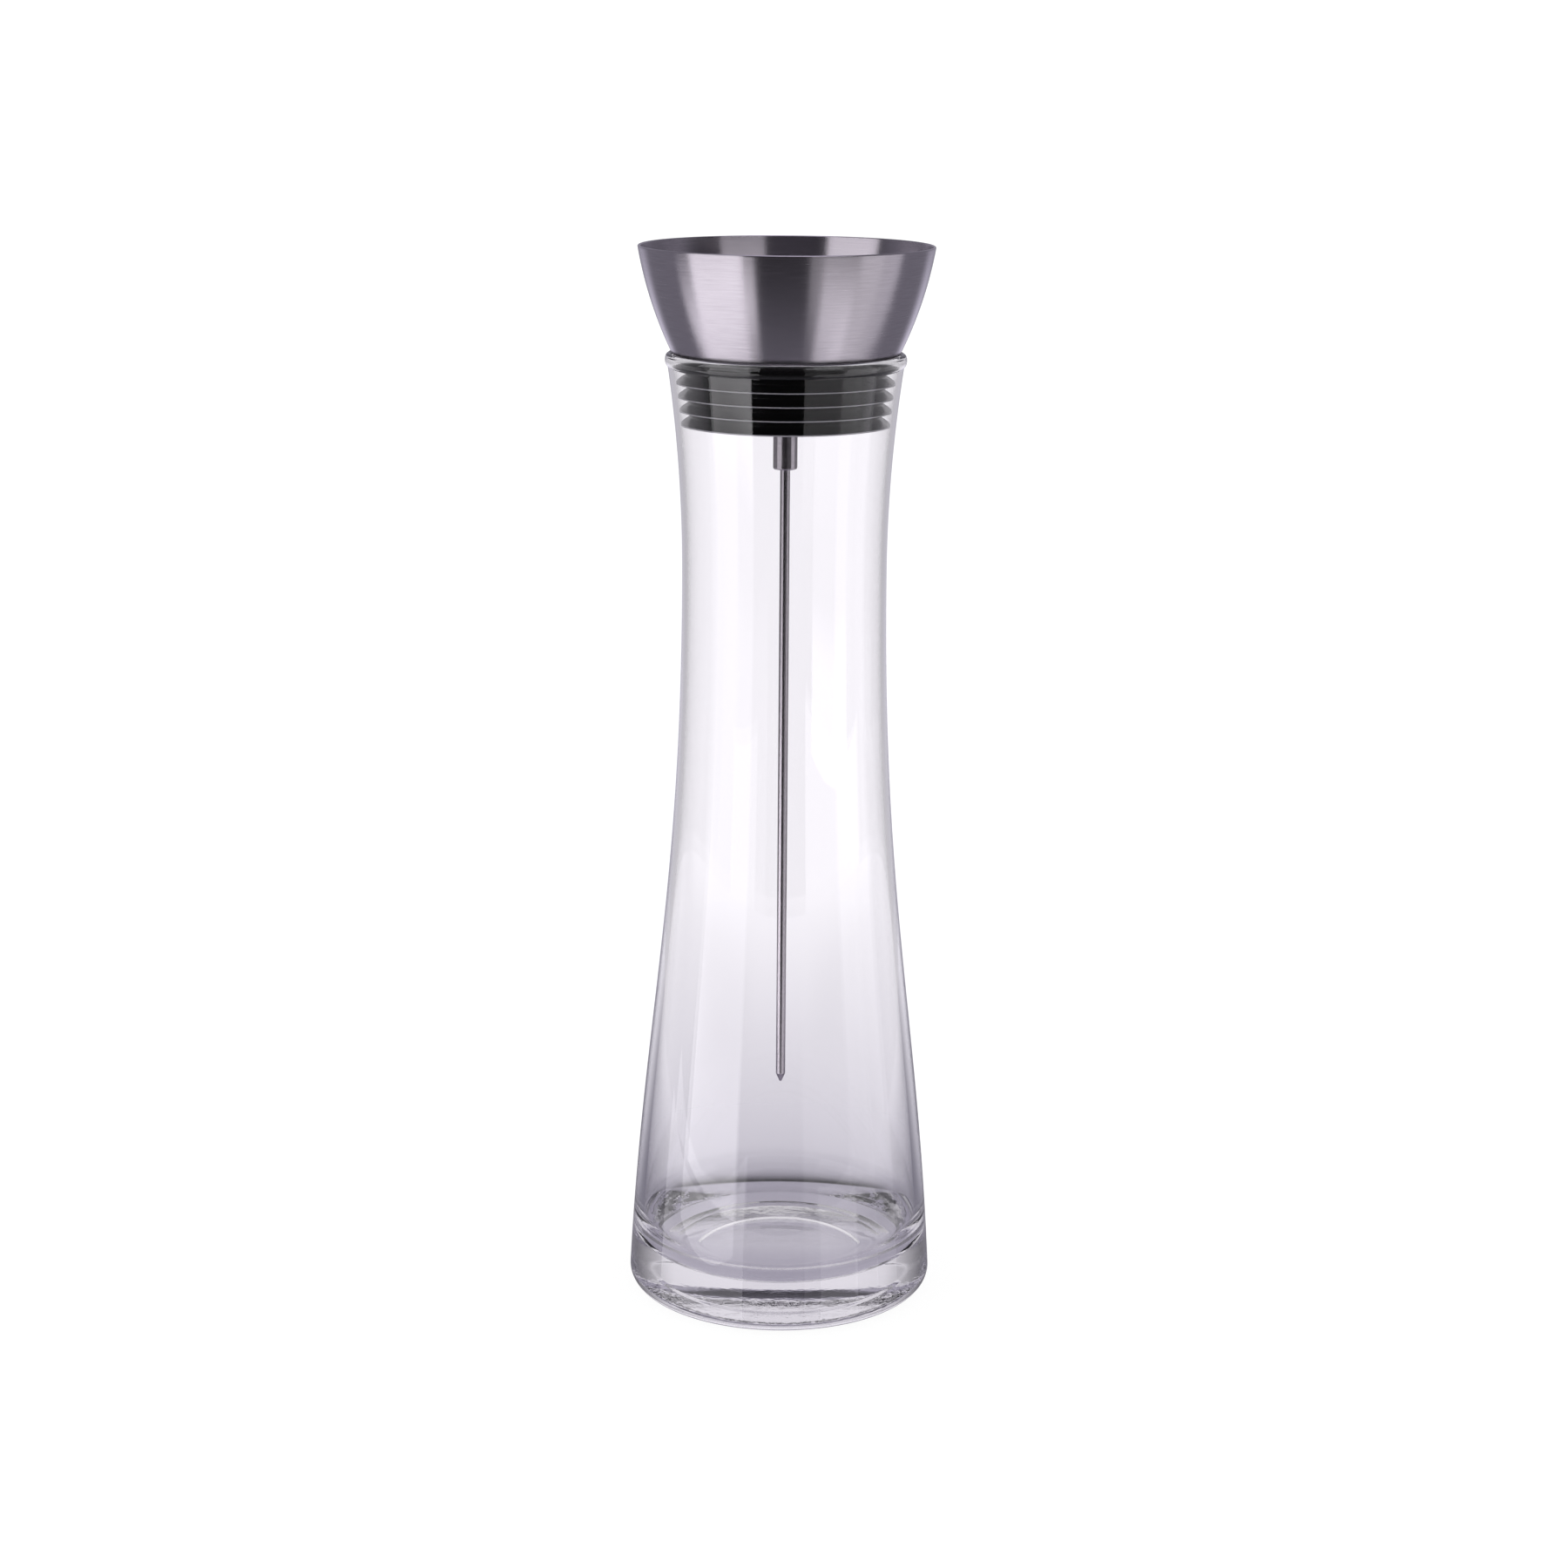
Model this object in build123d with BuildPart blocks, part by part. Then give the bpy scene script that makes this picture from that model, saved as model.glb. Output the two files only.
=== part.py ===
"""Fruit infuser carafe: a waisted glass body closed by a funnel-topped stopper with a fruit skewer.

Millimetres, +Z up, origin at the centre of the foot. The pouring flap is hinged on the +Y side.
"""

import os
from math import sqrt

from build123d import *

os.makedirs("parts", exist_ok=True)

# Glass body
glass_height = 298.0
foot_radius = 48.4
foot_lean = 0.05
foot_edge_radius = 5.0
punt_radius = 38.0
punt_depth = 1.8
waist_radius = 31.35
waist_height = 233.0
neck_radius = 35.95
bead_height = 4.1
bead_depth = 1.1
wall_foot = 3.2
wall_neck = 1.6
floor_thickness = 12.5
floor_corner_radius = 14.0
rim_round = 1.0
rim_inset = 0.9

# Silicone sleeve
seal_gap = 0.2
seal_depth = 20.5
seat_drop = 0.7
lip_count = 4
lip_depth = 3.5
lip_tip = 0.5
lip_top_run = 1.7
lip_under_run = 1.1
collar_height = 2.8
collar_run = 2.3
seal_wall = 2.7

# Plastic core
core_wall = 2.0
core_flange_width = 4.0
core_flange_thickness = 1.6
core_foot_width = 1.4
core_foot_thickness = 1.4
core_recess = 0.2
core_floor = 2.2
hub_radius = 6.0
hub_height = 6.0
slot_count = 12
slot_width = 3.0
slot_margin = 2.5

# Steel funnel
funnel_height = 32.7
funnel_rim_radius = 44.7
funnel_foot_gap = 0.4
funnel_bulge = 1.25
sheet = 0.8
bend_radius = 1.2

# Clamp ring that carries the flap
seat_flange_width = 4.0
seat_flange_thickness = 2.6
spigot_length = 7.0
spigot_wall = 2.0
thread_gap = 0.05
throat_share = 0.5
seat_lip_width = 1.2
seat_lip_height = 0.5
o_ring_section = 1.6
o_ring_side_gap = 0.1
spanner_hole_radius = 1.25
spanner_hole_depth = 1.5

# Pouring flap and its hinge
flap_lap = 2.0
flap_thickness = 1.0
gasket_thickness = 1.0
gasket_inset = 0.6
gasket_gap = 0.1
pin_radius = 0.8
pin_gap = 0.05
barrel_radius = 1.6
barrel_length = 10.0
barrel_side_gap = 0.15
barrel_set_back = 2.2
tab_width = 9.0
ear_thickness = 2.0
ear_radius = 2.0
rivet_radius = 1.5
rivet_head_radius = 2.8
rivet_head_height = 0.7
rivet_foot_radius = 4.0
rivet_foot_height = 0.8

# Skewer and the screw that holds it
screw_radius = 2.0
screw_gap = 0.05
screw_head_radius = 4.0
screw_head_height = 2.6
screw_slot_width = 1.0
screw_slot_depth = 1.2
washer_thickness = 0.6
thread_length = 7.0
thread_run_out = 0.6
ferrule_radius = 3.7
ferrule_length = 13.4
ferrule_gap = 0.05
ferrule_chamfer = 0.4
rod_radius = 1.5
rod_socket = 4.4
rod_floor_gap = 53.8
point_length = 2.6
point_radius = 0.35

# Shared positions and fits
neck_top = glass_height - bead_height / 2
neck_rise = neck_top - waist_height
neck_flare = neck_radius - waist_radius
neck_curve = (neck_rise**2 + neck_flare**2) / (2 * neck_flare)
foot_pull = 0.378 * waist_height
waist_pull = 0.457 * waist_height


def neck_sweep(height: float) -> float:
    """How far the neck has swept out from the waist at a height."""
    return neck_curve - sqrt(neck_curve**2 - (height - waist_height) ** 2)


def neck_bore(height: float) -> float:
    """Inner radius of the glass neck at a height."""
    return waist_radius - wall_neck + neck_sweep(height)


round_start = glass_height - rim_round
crown_radius = neck_bore(round_start) + rim_inset

seat_height = glass_height - seat_drop
seal_bottom = seat_height - seal_depth
collar_bottom = seat_height - collar_height
collar_radius = neck_bore(collar_bottom) - seal_gap
collar_root = collar_bottom - collar_run
lip_pitch = (collar_root - seal_bottom) / (lip_count - 0.3)

core_radius = neck_bore(seal_bottom) - lip_depth - seal_wall
core_bore = core_radius - core_wall
core_flange_radius = core_radius + core_flange_width
core_foot_radius = core_radius + core_foot_width
core_bottom = seal_bottom + core_recess
core_foot_top = core_bottom + core_foot_thickness
core_flange_bottom = seat_height - core_flange_thickness
core_floor_top = core_bottom + core_floor
hub_top = core_bottom + hub_height
slot_inner = hub_radius + slot_margin
slot_outer = core_bore - slot_margin

funnel_foot_radius = neck_bore(seat_height) - funnel_foot_gap
funnel_top = seat_height + funnel_height
funnel_floor_top = seat_height + sheet
funnel_slope = (funnel_rim_radius - funnel_foot_radius) / funnel_height
sheet_run = sheet * sqrt(1 + funnel_slope**2)

seat_flange_radius = core_bore + seat_flange_width
seat_top = funnel_floor_top + seat_flange_thickness
seat_lip_top = seat_top + seat_lip_height
spigot_radius = core_bore - thread_gap
throat_radius = throat_share * core_bore
o_ring_radius = core_bore + seat_flange_width / 2

flap_radius = throat_radius + flap_lap
gasket_bottom = seat_lip_top + gasket_gap
flap_bottom = gasket_bottom + gasket_thickness
flap_top = flap_bottom + flap_thickness
hinge_y = flap_radius + barrel_set_back
hinge_z = flap_bottom + flap_thickness / 2
ear_inner = barrel_length / 2 + barrel_side_gap
ear_outer = ear_inner + ear_thickness

screw_hole_radius = screw_radius + screw_gap
screw_seat = hub_top + washer_thickness
ferrule_top = core_bottom - ferrule_gap - washer_thickness - ferrule_gap
ferrule_bottom = ferrule_top - ferrule_length
screw_tip = ferrule_top - thread_length
screw_bore_bottom = screw_tip - thread_run_out
rod_top = ferrule_bottom + rod_socket
rod_tip = floor_thickness + rod_floor_gap


def lip_root(height: float) -> float:
    """Radius of the sleeve's body between its lips at a height."""
    return neck_bore(height) - lip_depth


# Glass body, blown hollow over a thick foot
with BuildPart() as glass_body:
    with BuildSketch(Plane.XZ) as outside:
        with BuildLine():
            TangentArc((0, punt_depth), (punt_radius, 0), tangent=(1, 0))
            Line((punt_radius, 0), (foot_radius, 0))
            outer_side = Bezier(
                (foot_radius, 0),
                (foot_radius - foot_lean * foot_pull, foot_pull),
                (waist_radius, waist_height - waist_pull),
                (waist_radius, waist_height),
            )
            half_rise = waist_height + neck_rise / 2
            ThreePointArc(
                outer_side @ 1,
                (waist_radius + neck_sweep(half_rise), half_rise),
                (neck_radius, neck_top),
            )
            Polyline((neck_radius, neck_top), (0, neck_top), (0, punt_depth))
        make_face()
        with Locations((crown_radius, neck_top)):
            Ellipse(bead_depth, bead_height / 2)
        fillet(outside.vertices().sort_by_distance((foot_radius, 0))[0], foot_edge_radius)
    revolve(axis=Axis.Z)
    with BuildSketch(Plane.XZ) as cavity:
        with BuildLine():
            inner_side = Bezier(
                (foot_radius - wall_foot, 0),
                (foot_radius - foot_lean * foot_pull - wall_foot, foot_pull),
                (waist_radius - wall_neck, waist_height - waist_pull),
                (waist_radius - wall_neck, waist_height),
            )
            half_bore = (waist_height + round_start) / 2
            inner_neck = ThreePointArc(
                inner_side @ 1,
                (neck_bore(half_bore), half_bore),
                (neck_bore(round_start), round_start),
            )
            rim_arc = TangentArc(inner_neck @ 1, (crown_radius, glass_height), tangent=inner_neck % 1)
            Polyline(rim_arc @ 1, (0, glass_height), (0, 0), inner_side @ 0)
        make_face()
        Rectangle(2 * foot_radius, 2 * floor_thickness, mode=Mode.SUBTRACT)
        floor_corner = (foot_radius - wall_foot, floor_thickness)
        fillet(cavity.vertices().sort_by_distance(floor_corner)[0], floor_corner_radius)
    revolve(axis=Axis.Z, mode=Mode.SUBTRACT)
glass_body.part.label = "glass_body"
export_step(glass_body.part, "parts/glass_body.step")

# Silicone sleeve with a collar and sealing lips
with BuildPart() as stopper_seal:
    with BuildSketch(Plane.XZ):
        with BuildLine():
            Polyline(
                (core_flange_radius, seat_height),
                (collar_radius, seat_height),
                (collar_radius, collar_bottom),
                (lip_root(collar_root), collar_root),
                (lip_root(seal_bottom), seal_bottom),
                (core_foot_radius, seal_bottom),
                (core_foot_radius, core_foot_top),
                (core_radius, core_foot_top),
                (core_radius, core_flange_bottom),
                (core_flange_radius, core_flange_bottom),
                close=True,
            )
        make_face()
        for lip in range(lip_count):
            tip_bottom = seal_bottom + lip * lip_pitch
            tip_radius = neck_bore(tip_bottom) - seal_gap
            inside = lip_root(tip_bottom) - seal_wall / 4
            under = tip_bottom - lip_under_run if lip else seal_bottom
            with BuildLine():
                Polyline(
                    (inside, tip_bottom + lip_tip + lip_top_run),
                    (lip_root(tip_bottom), tip_bottom + lip_tip + lip_top_run),
                    (tip_radius, tip_bottom + lip_tip),
                    (tip_radius, tip_bottom),
                    (lip_root(tip_bottom), under),
                    (inside, under),
                    close=True,
                )
            make_face()
    revolve(axis=Axis.Z)
stopper_seal.part.label = "stopper_seal"
export_step(stopper_seal.part, "parts/stopper_seal.step")

# Plastic core: a cup with a slotted strainer floor and a hub for the skewer's screw
with BuildPart() as stopper_core:
    with BuildSketch(Plane.XZ):
        with BuildLine():
            Polyline(
                (screw_hole_radius, core_bottom),
                (core_foot_radius, core_bottom),
                (core_foot_radius, core_foot_top),
                (core_radius, core_foot_top),
                (core_radius, core_flange_bottom),
                (core_flange_radius, core_flange_bottom),
                (core_flange_radius, seat_height),
                (core_bore, seat_height),
                (core_bore, core_floor_top),
                (hub_radius, core_floor_top),
                (hub_radius, hub_top),
                (screw_hole_radius, hub_top),
                close=True,
            )
        make_face()
    revolve(axis=Axis.Z)
    with BuildSketch(Plane.XY.offset(core_bottom)):
        with PolarLocations((slot_inner + slot_outer) / 2, slot_count):
            SlotOverall(slot_outer - slot_inner, slot_width)
    extrude(amount=core_floor, mode=Mode.SUBTRACT)
stopper_core.part.label = "stopper_core"
export_step(stopper_core.part, "parts/stopper_core.step")

# Funnel spun from one sheet, with a flat floor that the clamp ring holds down
with BuildPart() as pour_funnel:
    with BuildSketch(Plane.XZ) as section:
        with BuildLine():
            SagittaArc((funnel_rim_radius, funnel_top), (funnel_foot_radius, seat_height), funnel_bulge)
            Polyline(
                (funnel_foot_radius, seat_height),
                (core_bore, seat_height),
                (core_bore, funnel_floor_top),
                (funnel_foot_radius - sheet_run, funnel_floor_top),
            )
            SagittaArc(
                (funnel_foot_radius - sheet_run, funnel_floor_top),
                (funnel_rim_radius - sheet_run, funnel_top),
                -funnel_bulge,
            )
            Line((funnel_rim_radius - sheet_run, funnel_top), (funnel_rim_radius, funnel_top))
        make_face()
        outer_corner = section.vertices().sort_by_distance((funnel_foot_radius, seat_height))[0]
        fillet(outer_corner, bend_radius)
        inner_corner = (funnel_foot_radius - sheet_run, funnel_floor_top)
        fillet(section.vertices().sort_by_distance(inner_corner)[0], bend_radius - sheet)
        fillet(section.vertices().group_by(Axis.Y)[-1], 0.4 * sheet)
    revolve(axis=Axis.Z)
pour_funnel.part.label = "pour_funnel"
export_step(pour_funnel.part, "parts/pour_funnel.step")

# Clamp ring with the throat, the flap's seat and the hinge ears
with BuildPart() as flap_seat:
    with BuildSketch(Plane.XZ) as ring:
        with BuildLine():
            Polyline(
                (throat_radius, funnel_floor_top),
                (spigot_radius - spigot_wall, funnel_floor_top),
                (spigot_radius - spigot_wall, funnel_floor_top - spigot_length),
                (spigot_radius, funnel_floor_top - spigot_length),
                (spigot_radius, funnel_floor_top),
                (seat_flange_radius, funnel_floor_top),
                (seat_flange_radius, seat_top),
                (throat_radius + seat_lip_width, seat_top),
                (throat_radius + seat_lip_width, seat_lip_top),
                (throat_radius, seat_lip_top),
                close=True,
            )
        make_face()
        fillet(ring.vertices().sort_by_distance((seat_flange_radius, seat_top))[0], sheet)
        with Locations((o_ring_radius, funnel_floor_top)):
            Rectangle(o_ring_section + 2 * o_ring_side_gap, 2 * o_ring_section, mode=Mode.SUBTRACT)
    revolve(axis=Axis.Z)
    with BuildSketch(Plane.YZ.offset(ear_inner)):
        with Locations((hinge_y, hinge_z)):
            Circle(ear_radius)
        with Locations((hinge_y, (hinge_z + seat_top - sheet) / 2)):
            Rectangle(2 * ear_radius, hinge_z - seat_top + sheet)
    extrude(amount=ear_thickness)
    with BuildSketch(Plane.YZ.offset(-ear_inner)):
        with Locations((hinge_y, hinge_z)):
            Circle(ear_radius)
        with Locations((hinge_y, (hinge_z + seat_top - sheet) / 2)):
            Rectangle(2 * ear_radius, hinge_z - seat_top + sheet)
    extrude(amount=-ear_thickness)
    with BuildSketch(Plane.YZ.offset(-ear_outer)):
        with Locations((hinge_y, hinge_z)):
            Circle(pin_radius)
    extrude(amount=2 * ear_outer, mode=Mode.SUBTRACT)
    with BuildSketch(Plane.XY.offset(seat_top)):
        with PolarLocations((flap_radius + seat_flange_radius) / 2, 2):
            Circle(spanner_hole_radius)
    extrude(amount=-spanner_hole_depth, mode=Mode.SUBTRACT)
flap_seat.part.label = "flap_seat"
export_step(flap_seat.part, "parts/flap_seat.step")

# O-ring in the groove under the clamp ring
with BuildPart() as seat_o_ring:
    with BuildSketch(Plane.XZ):
        with Locations((o_ring_radius, funnel_floor_top + o_ring_section / 2)):
            Circle(o_ring_section / 2)
    revolve(axis=Axis.Z)
seat_o_ring.part.label = "seat_o_ring"
export_step(seat_o_ring.part, "parts/seat_o_ring.step")

# Steel flap with a barrel rolled round its pin
with BuildPart() as flap_plate:
    with BuildSketch(Plane.XY.offset(flap_bottom)):
        Circle(flap_radius)
        with Locations((0, hinge_y / 2)):
            Rectangle(tab_width, hinge_y)
        Circle(rivet_radius, mode=Mode.SUBTRACT)
    extrude(amount=flap_thickness)
    with BuildSketch(Plane.YZ.offset(-barrel_length / 2)):
        with Locations((hinge_y, hinge_z)):
            Circle(barrel_radius)
    extrude(amount=barrel_length)
    with BuildSketch(Plane.YZ.offset(-barrel_length / 2)):
        with Locations((hinge_y, hinge_z)):
            Circle(pin_radius + pin_gap)
    extrude(amount=barrel_length, mode=Mode.SUBTRACT)
flap_plate.part.label = "flap_plate"
export_step(flap_plate.part, "parts/flap_plate.step")

# Silicone disc under the flap
with BuildPart() as flap_gasket:
    with BuildSketch(Plane.XY.offset(gasket_bottom)):
        Circle(flap_radius - gasket_inset)
        Circle(rivet_radius, mode=Mode.SUBTRACT)
    extrude(amount=gasket_thickness)
flap_gasket.part.label = "flap_gasket"
export_step(flap_gasket.part, "parts/flap_gasket.step")

# Rivet that holds the disc to the flap
with BuildPart() as flap_rivet:
    with BuildSketch(Plane.XZ):
        with BuildLine():
            rivet_top = (0, flap_top + rivet_head_height)
            Polyline(
                rivet_top,
                (0, gasket_bottom - rivet_foot_height),
                (rivet_foot_radius, gasket_bottom - rivet_foot_height),
                (rivet_foot_radius, gasket_bottom),
                (rivet_radius, gasket_bottom),
                (rivet_radius, flap_top),
                (rivet_head_radius, flap_top),
            )
            TangentArc(rivet_top, (rivet_head_radius, flap_top), tangent=(1, 0))
        make_face()
    revolve(axis=Axis.Z)
flap_rivet.part.label = "flap_rivet"
export_step(flap_rivet.part, "parts/flap_rivet.step")

# Hinge pin, pressed into both ears
with BuildPart() as hinge_pin:
    with BuildSketch(Plane.YZ.offset(-ear_outer)):
        with Locations((hinge_y, hinge_z)):
            Circle(pin_radius)
    extrude(amount=2 * ear_outer)
hinge_pin.part.label = "hinge_pin"
export_step(hinge_pin.part, "parts/hinge_pin.step")

# Screw down through the hub, with a slotted head
with BuildPart() as skewer_screw:
    with BuildSketch(Plane.XY.offset(screw_tip)):
        Circle(screw_radius)
    extrude(amount=screw_seat - screw_tip)
    with BuildSketch(Plane.XY.offset(screw_seat)):
        Circle(screw_head_radius)
    extrude(amount=screw_head_height)
    fillet(skewer_screw.edges().group_by(Axis.Z)[-1], 0.3 * screw_head_height)
    with BuildSketch(Plane.XY.offset(screw_seat + screw_head_height)):
        Rectangle(3 * screw_head_radius, screw_slot_width)
    extrude(amount=-screw_slot_depth, mode=Mode.SUBTRACT)
    chamfer(skewer_screw.edges().group_by(Axis.Z)[0], screw_radius / 4)
skewer_screw.part.label = "skewer_screw"
export_step(skewer_screw.part, "parts/skewer_screw.step")

# Seal washer under the screw's head
with BuildPart() as screw_seal_washer:
    with BuildSketch(Plane.XY.offset(hub_top)):
        Circle(screw_head_radius)
        Circle(screw_hole_radius, mode=Mode.SUBTRACT)
    extrude(amount=washer_thickness)
screw_seal_washer.part.label = "screw_seal_washer"
export_step(screw_seal_washer.part, "parts/screw_seal_washer.step")

# Washer between the core and the ferrule
with BuildPart() as ferrule_washer:
    with BuildSketch(Plane.XY.offset(ferrule_top + ferrule_gap)):
        Circle(ferrule_radius)
        Circle(screw_hole_radius, mode=Mode.SUBTRACT)
    extrude(amount=washer_thickness)
ferrule_washer.part.label = "ferrule_washer"
export_step(ferrule_washer.part, "parts/ferrule_washer.step")

# Ferrule: screws on to the stopper from below and holds the rod
with BuildPart() as skewer_ferrule:
    with BuildSketch(Plane.XZ):
        with BuildLine():
            Polyline(
                (rod_radius, ferrule_bottom),
                (ferrule_radius - ferrule_chamfer, ferrule_bottom),
                (ferrule_radius, ferrule_bottom + ferrule_chamfer),
                (ferrule_radius, ferrule_top),
                (screw_hole_radius, ferrule_top),
                (screw_hole_radius, screw_bore_bottom),
                (0, screw_bore_bottom),
                (0, rod_top),
                (rod_radius, rod_top),
                close=True,
            )
        make_face()
    revolve(axis=Axis.Z)
skewer_ferrule.part.label = "skewer_ferrule"
export_step(skewer_ferrule.part, "parts/skewer_ferrule.step")

# Skewer rod with a short blunt point
with BuildPart() as skewer_rod:
    with BuildSketch(Plane.XZ):
        with BuildLine():
            Polyline(
                (0, rod_tip),
                (point_radius, rod_tip),
                (rod_radius, rod_tip + point_length),
                (rod_radius, rod_top),
                (0, rod_top),
                close=True,
            )
        make_face()
    revolve(axis=Axis.Z)
skewer_rod.part.label = "skewer_rod"
export_step(skewer_rod.part, "parts/skewer_rod.step")
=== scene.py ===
"""Looks for a fruit infuser carafe: waisted glass, steel funnel stopper and a fruit skewer.

Sizes are in millimetres unless a name ends in _m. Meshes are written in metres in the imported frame,
with +Z up the axis of the glass, -Y towards the camera and the flap's hinge on the +Y side.
"""

import logging
from collections.abc import Mapping, Sequence
from dataclasses import dataclass, field
from enum import Enum

import bpy
import numpy as np
from mathutils import Matrix, Vector

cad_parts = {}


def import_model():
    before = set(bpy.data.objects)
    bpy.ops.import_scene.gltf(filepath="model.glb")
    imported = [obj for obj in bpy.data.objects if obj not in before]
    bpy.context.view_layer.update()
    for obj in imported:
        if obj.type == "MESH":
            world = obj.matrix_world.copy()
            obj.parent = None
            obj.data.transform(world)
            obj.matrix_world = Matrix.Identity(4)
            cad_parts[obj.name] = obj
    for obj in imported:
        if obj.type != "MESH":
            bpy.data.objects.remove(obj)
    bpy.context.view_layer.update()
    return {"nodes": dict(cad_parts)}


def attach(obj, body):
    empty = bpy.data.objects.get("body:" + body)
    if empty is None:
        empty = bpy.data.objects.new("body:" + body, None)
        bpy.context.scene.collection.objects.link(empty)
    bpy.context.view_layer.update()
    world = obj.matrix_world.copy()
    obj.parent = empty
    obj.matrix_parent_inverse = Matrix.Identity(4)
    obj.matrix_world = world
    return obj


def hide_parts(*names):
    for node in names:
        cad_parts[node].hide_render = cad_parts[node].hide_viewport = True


LOG = logging.getLogger("carafe")
METRES_PER_MM = 0.001

# Points nearer to each other than SAME_POINT are one, and no length under LEAST_LENGTH is divided by
SAME_POINT = 1e-6
LEAST_LENGTH = 1e-12
# Cosine past which a corner counts as straight
STRAIGHT = 0.999999
# Share of a fillet's radius that the next point of the wall keeps from the fillet's end
FILLET_MARGIN = 0.02

# Attribute that tells how far a moulded piece carries a painted highlight: the pale lines at the lips' tips
HIGHLIGHT_ATTRIBUTE = "painted_highlight"

# Sockets of a mix node, by place
FACTOR, LEVEL_A, LEVEL_B, COLOUR_A, COLOUR_B = 0, 2, 3, 6, 7
COLOURED = {"data_type": "RGBA"}
SMOOTH = {"interpolation_type": "SMOOTHSTEP"}
WHITE = (1.0, 1.0, 1.0, 1.0)

# Splits whole numbers: a count over it is at least one
ANY = 0.5

# Start and end of a stretch of some measure, over which one level turns into another
Span = tuple[float, float]

# The white screen behind the carafe: its colour, and its strength high up and low down
SCREEN = "#FCF9FF"
SCREEN_LEVEL = 1.09
LOW_SCREEN_LEVEL = 1.06


class Body(Enum):
    """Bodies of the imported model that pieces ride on."""

    CARAFE = "carafe"
    STOPPER = "stopper"
    FLAP = "flap"
    SKEWER = "skewer"


class Slot(Enum):
    """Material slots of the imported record."""

    GLASS = "glass"
    STEEL = "steel"
    FITTINGS = "steel_fittings"
    SILICONE = "silicone"


# Curves and surfaces


def bezier(handles: Sequence[tuple[float, float]], count: int) -> np.ndarray:
    """Cubic curve: the sum of its four handles weighted by the Bernstein polynomials.

    Args:
        handles: Four (radius, height) points.
        count: Number of points along the curve.

    Returns:
        Array of shape (count, 2).
    """
    share = np.linspace(0.0, 1.0, count)
    rest = 1.0 - share
    weights = np.stack([rest**3, 3 * rest**2 * share, 3 * rest * share**2, share**3], axis=1)
    return weights @ np.asarray(handles, dtype=float)


def bulged(start: tuple[float, float], end: tuple[float, float], bulge: float, count: int) -> np.ndarray:
    """Circular arc between two points that stands off its chord by bulge, to the right if positive.

    The circle's radius is (half chord squared plus bulge squared) over twice the bulge.

    Args:
        start: First (radius, height) point.
        end: Last point.
        bulge: Height of the arc over the middle of its chord.
        count: Number of points along the arc.

    Returns:
        Array of shape (count, 2).
    """
    first, last = np.asarray(start, dtype=float), np.asarray(end, dtype=float)
    chord = last - first
    half = np.hypot(*chord) / 2
    along = chord / (2 * half)
    across = np.array([along[1], -along[0]])
    radius = (half**2 + bulge**2) / (2 * abs(bulge))
    reach = np.linspace(-half, half, count)
    stand_off = np.sqrt(radius**2 - reach**2) - (radius - abs(bulge))
    middle = (first + last) / 2
    return middle + reach[:, None] * along + np.sign(bulge) * stand_off[:, None] * across


def tangent_arc(start: np.ndarray, heading: np.ndarray, end: np.ndarray, count: int) -> np.ndarray:
    """Circular arc that leaves start along heading and ends at end, bending to the right.

    Its centre is on the normal at start, at half the squared chord over the chord's share along it.

    Args:
        start: First point.
        heading: Unit direction at the first point.
        end: Last point.
        count: Number of points along the arc.

    Returns:
        Array of shape (count, 2).
    """
    across = np.array([heading[1], -heading[0]])
    chord = end - start
    radius = chord @ chord / (2 * (chord @ across))
    centre = start + radius * across
    first = np.arctan2(*(start - centre)[::-1])
    last = np.arctan2(*(end - centre)[::-1])
    angles = np.linspace(first, last, count)
    return centre + radius * np.stack([np.cos(angles), np.sin(angles)], axis=1)


def rounded(corners: Sequence[tuple[float, float, float]], steps: int = 7) -> np.ndarray:
    """Polygon whose corners are swapped for tangent arcs, each of its own radius.

    An arc's centre is on the corner's bisector at radius over the sine of the half angle, and its ends
    are radius over the tangent of the half angle away from the corner.

    Args:
        corners: (radius, height, arc radius) of each corner in order.
        steps: Points on each arc.

    Returns:
        Array of shape (n, 2) without repeated points.
    """
    table = np.asarray(corners, dtype=float)
    points, radii = table[:, :2], table[:, 2]
    back = np.roll(points, 1, axis=0) - points
    ahead = np.roll(points, -1, axis=0) - points
    back /= np.hypot(back[:, 0], back[:, 1])[:, None]
    ahead /= np.hypot(ahead[:, 0], ahead[:, 1])[:, None]
    half = 0.5 * np.arccos(np.clip((back * ahead).sum(axis=1), -STRAIGHT, STRAIGHT))
    bisector = back + ahead
    bisector /= np.hypot(bisector[:, 0], bisector[:, 1])[:, None]
    centre = points + bisector * (radii / np.sin(half))[:, None]
    start = points + back * (radii / np.tan(half))[:, None]
    bend = np.sign(back[:, 1] * ahead[:, 0] - back[:, 0] * ahead[:, 1])
    first = np.arctan2(start[:, 1] - centre[:, 1], start[:, 0] - centre[:, 0])
    angles = first[:, None] + (bend * (np.pi - 2 * half))[:, None] * np.linspace(0.0, 1.0, steps)
    arcs = centre[:, None, :] + radii[:, None, None] * np.stack([np.cos(angles), np.sin(angles)], axis=2)
    return without_repeats(arcs.reshape(-1, 2))


def without_repeats(line: np.ndarray) -> np.ndarray:
    """The points of a line with each one that repeats its neighbour left out.

    Args:
        line: Points in order.

    Returns:
        The points that are left.
    """
    gaps = np.hypot(*np.diff(line, axis=0).T)
    kept = np.concatenate([[True], gaps > SAME_POINT])
    kept[-1] &= np.hypot(*(line[-1] - line[0])) > SAME_POINT
    return line[kept]


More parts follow.
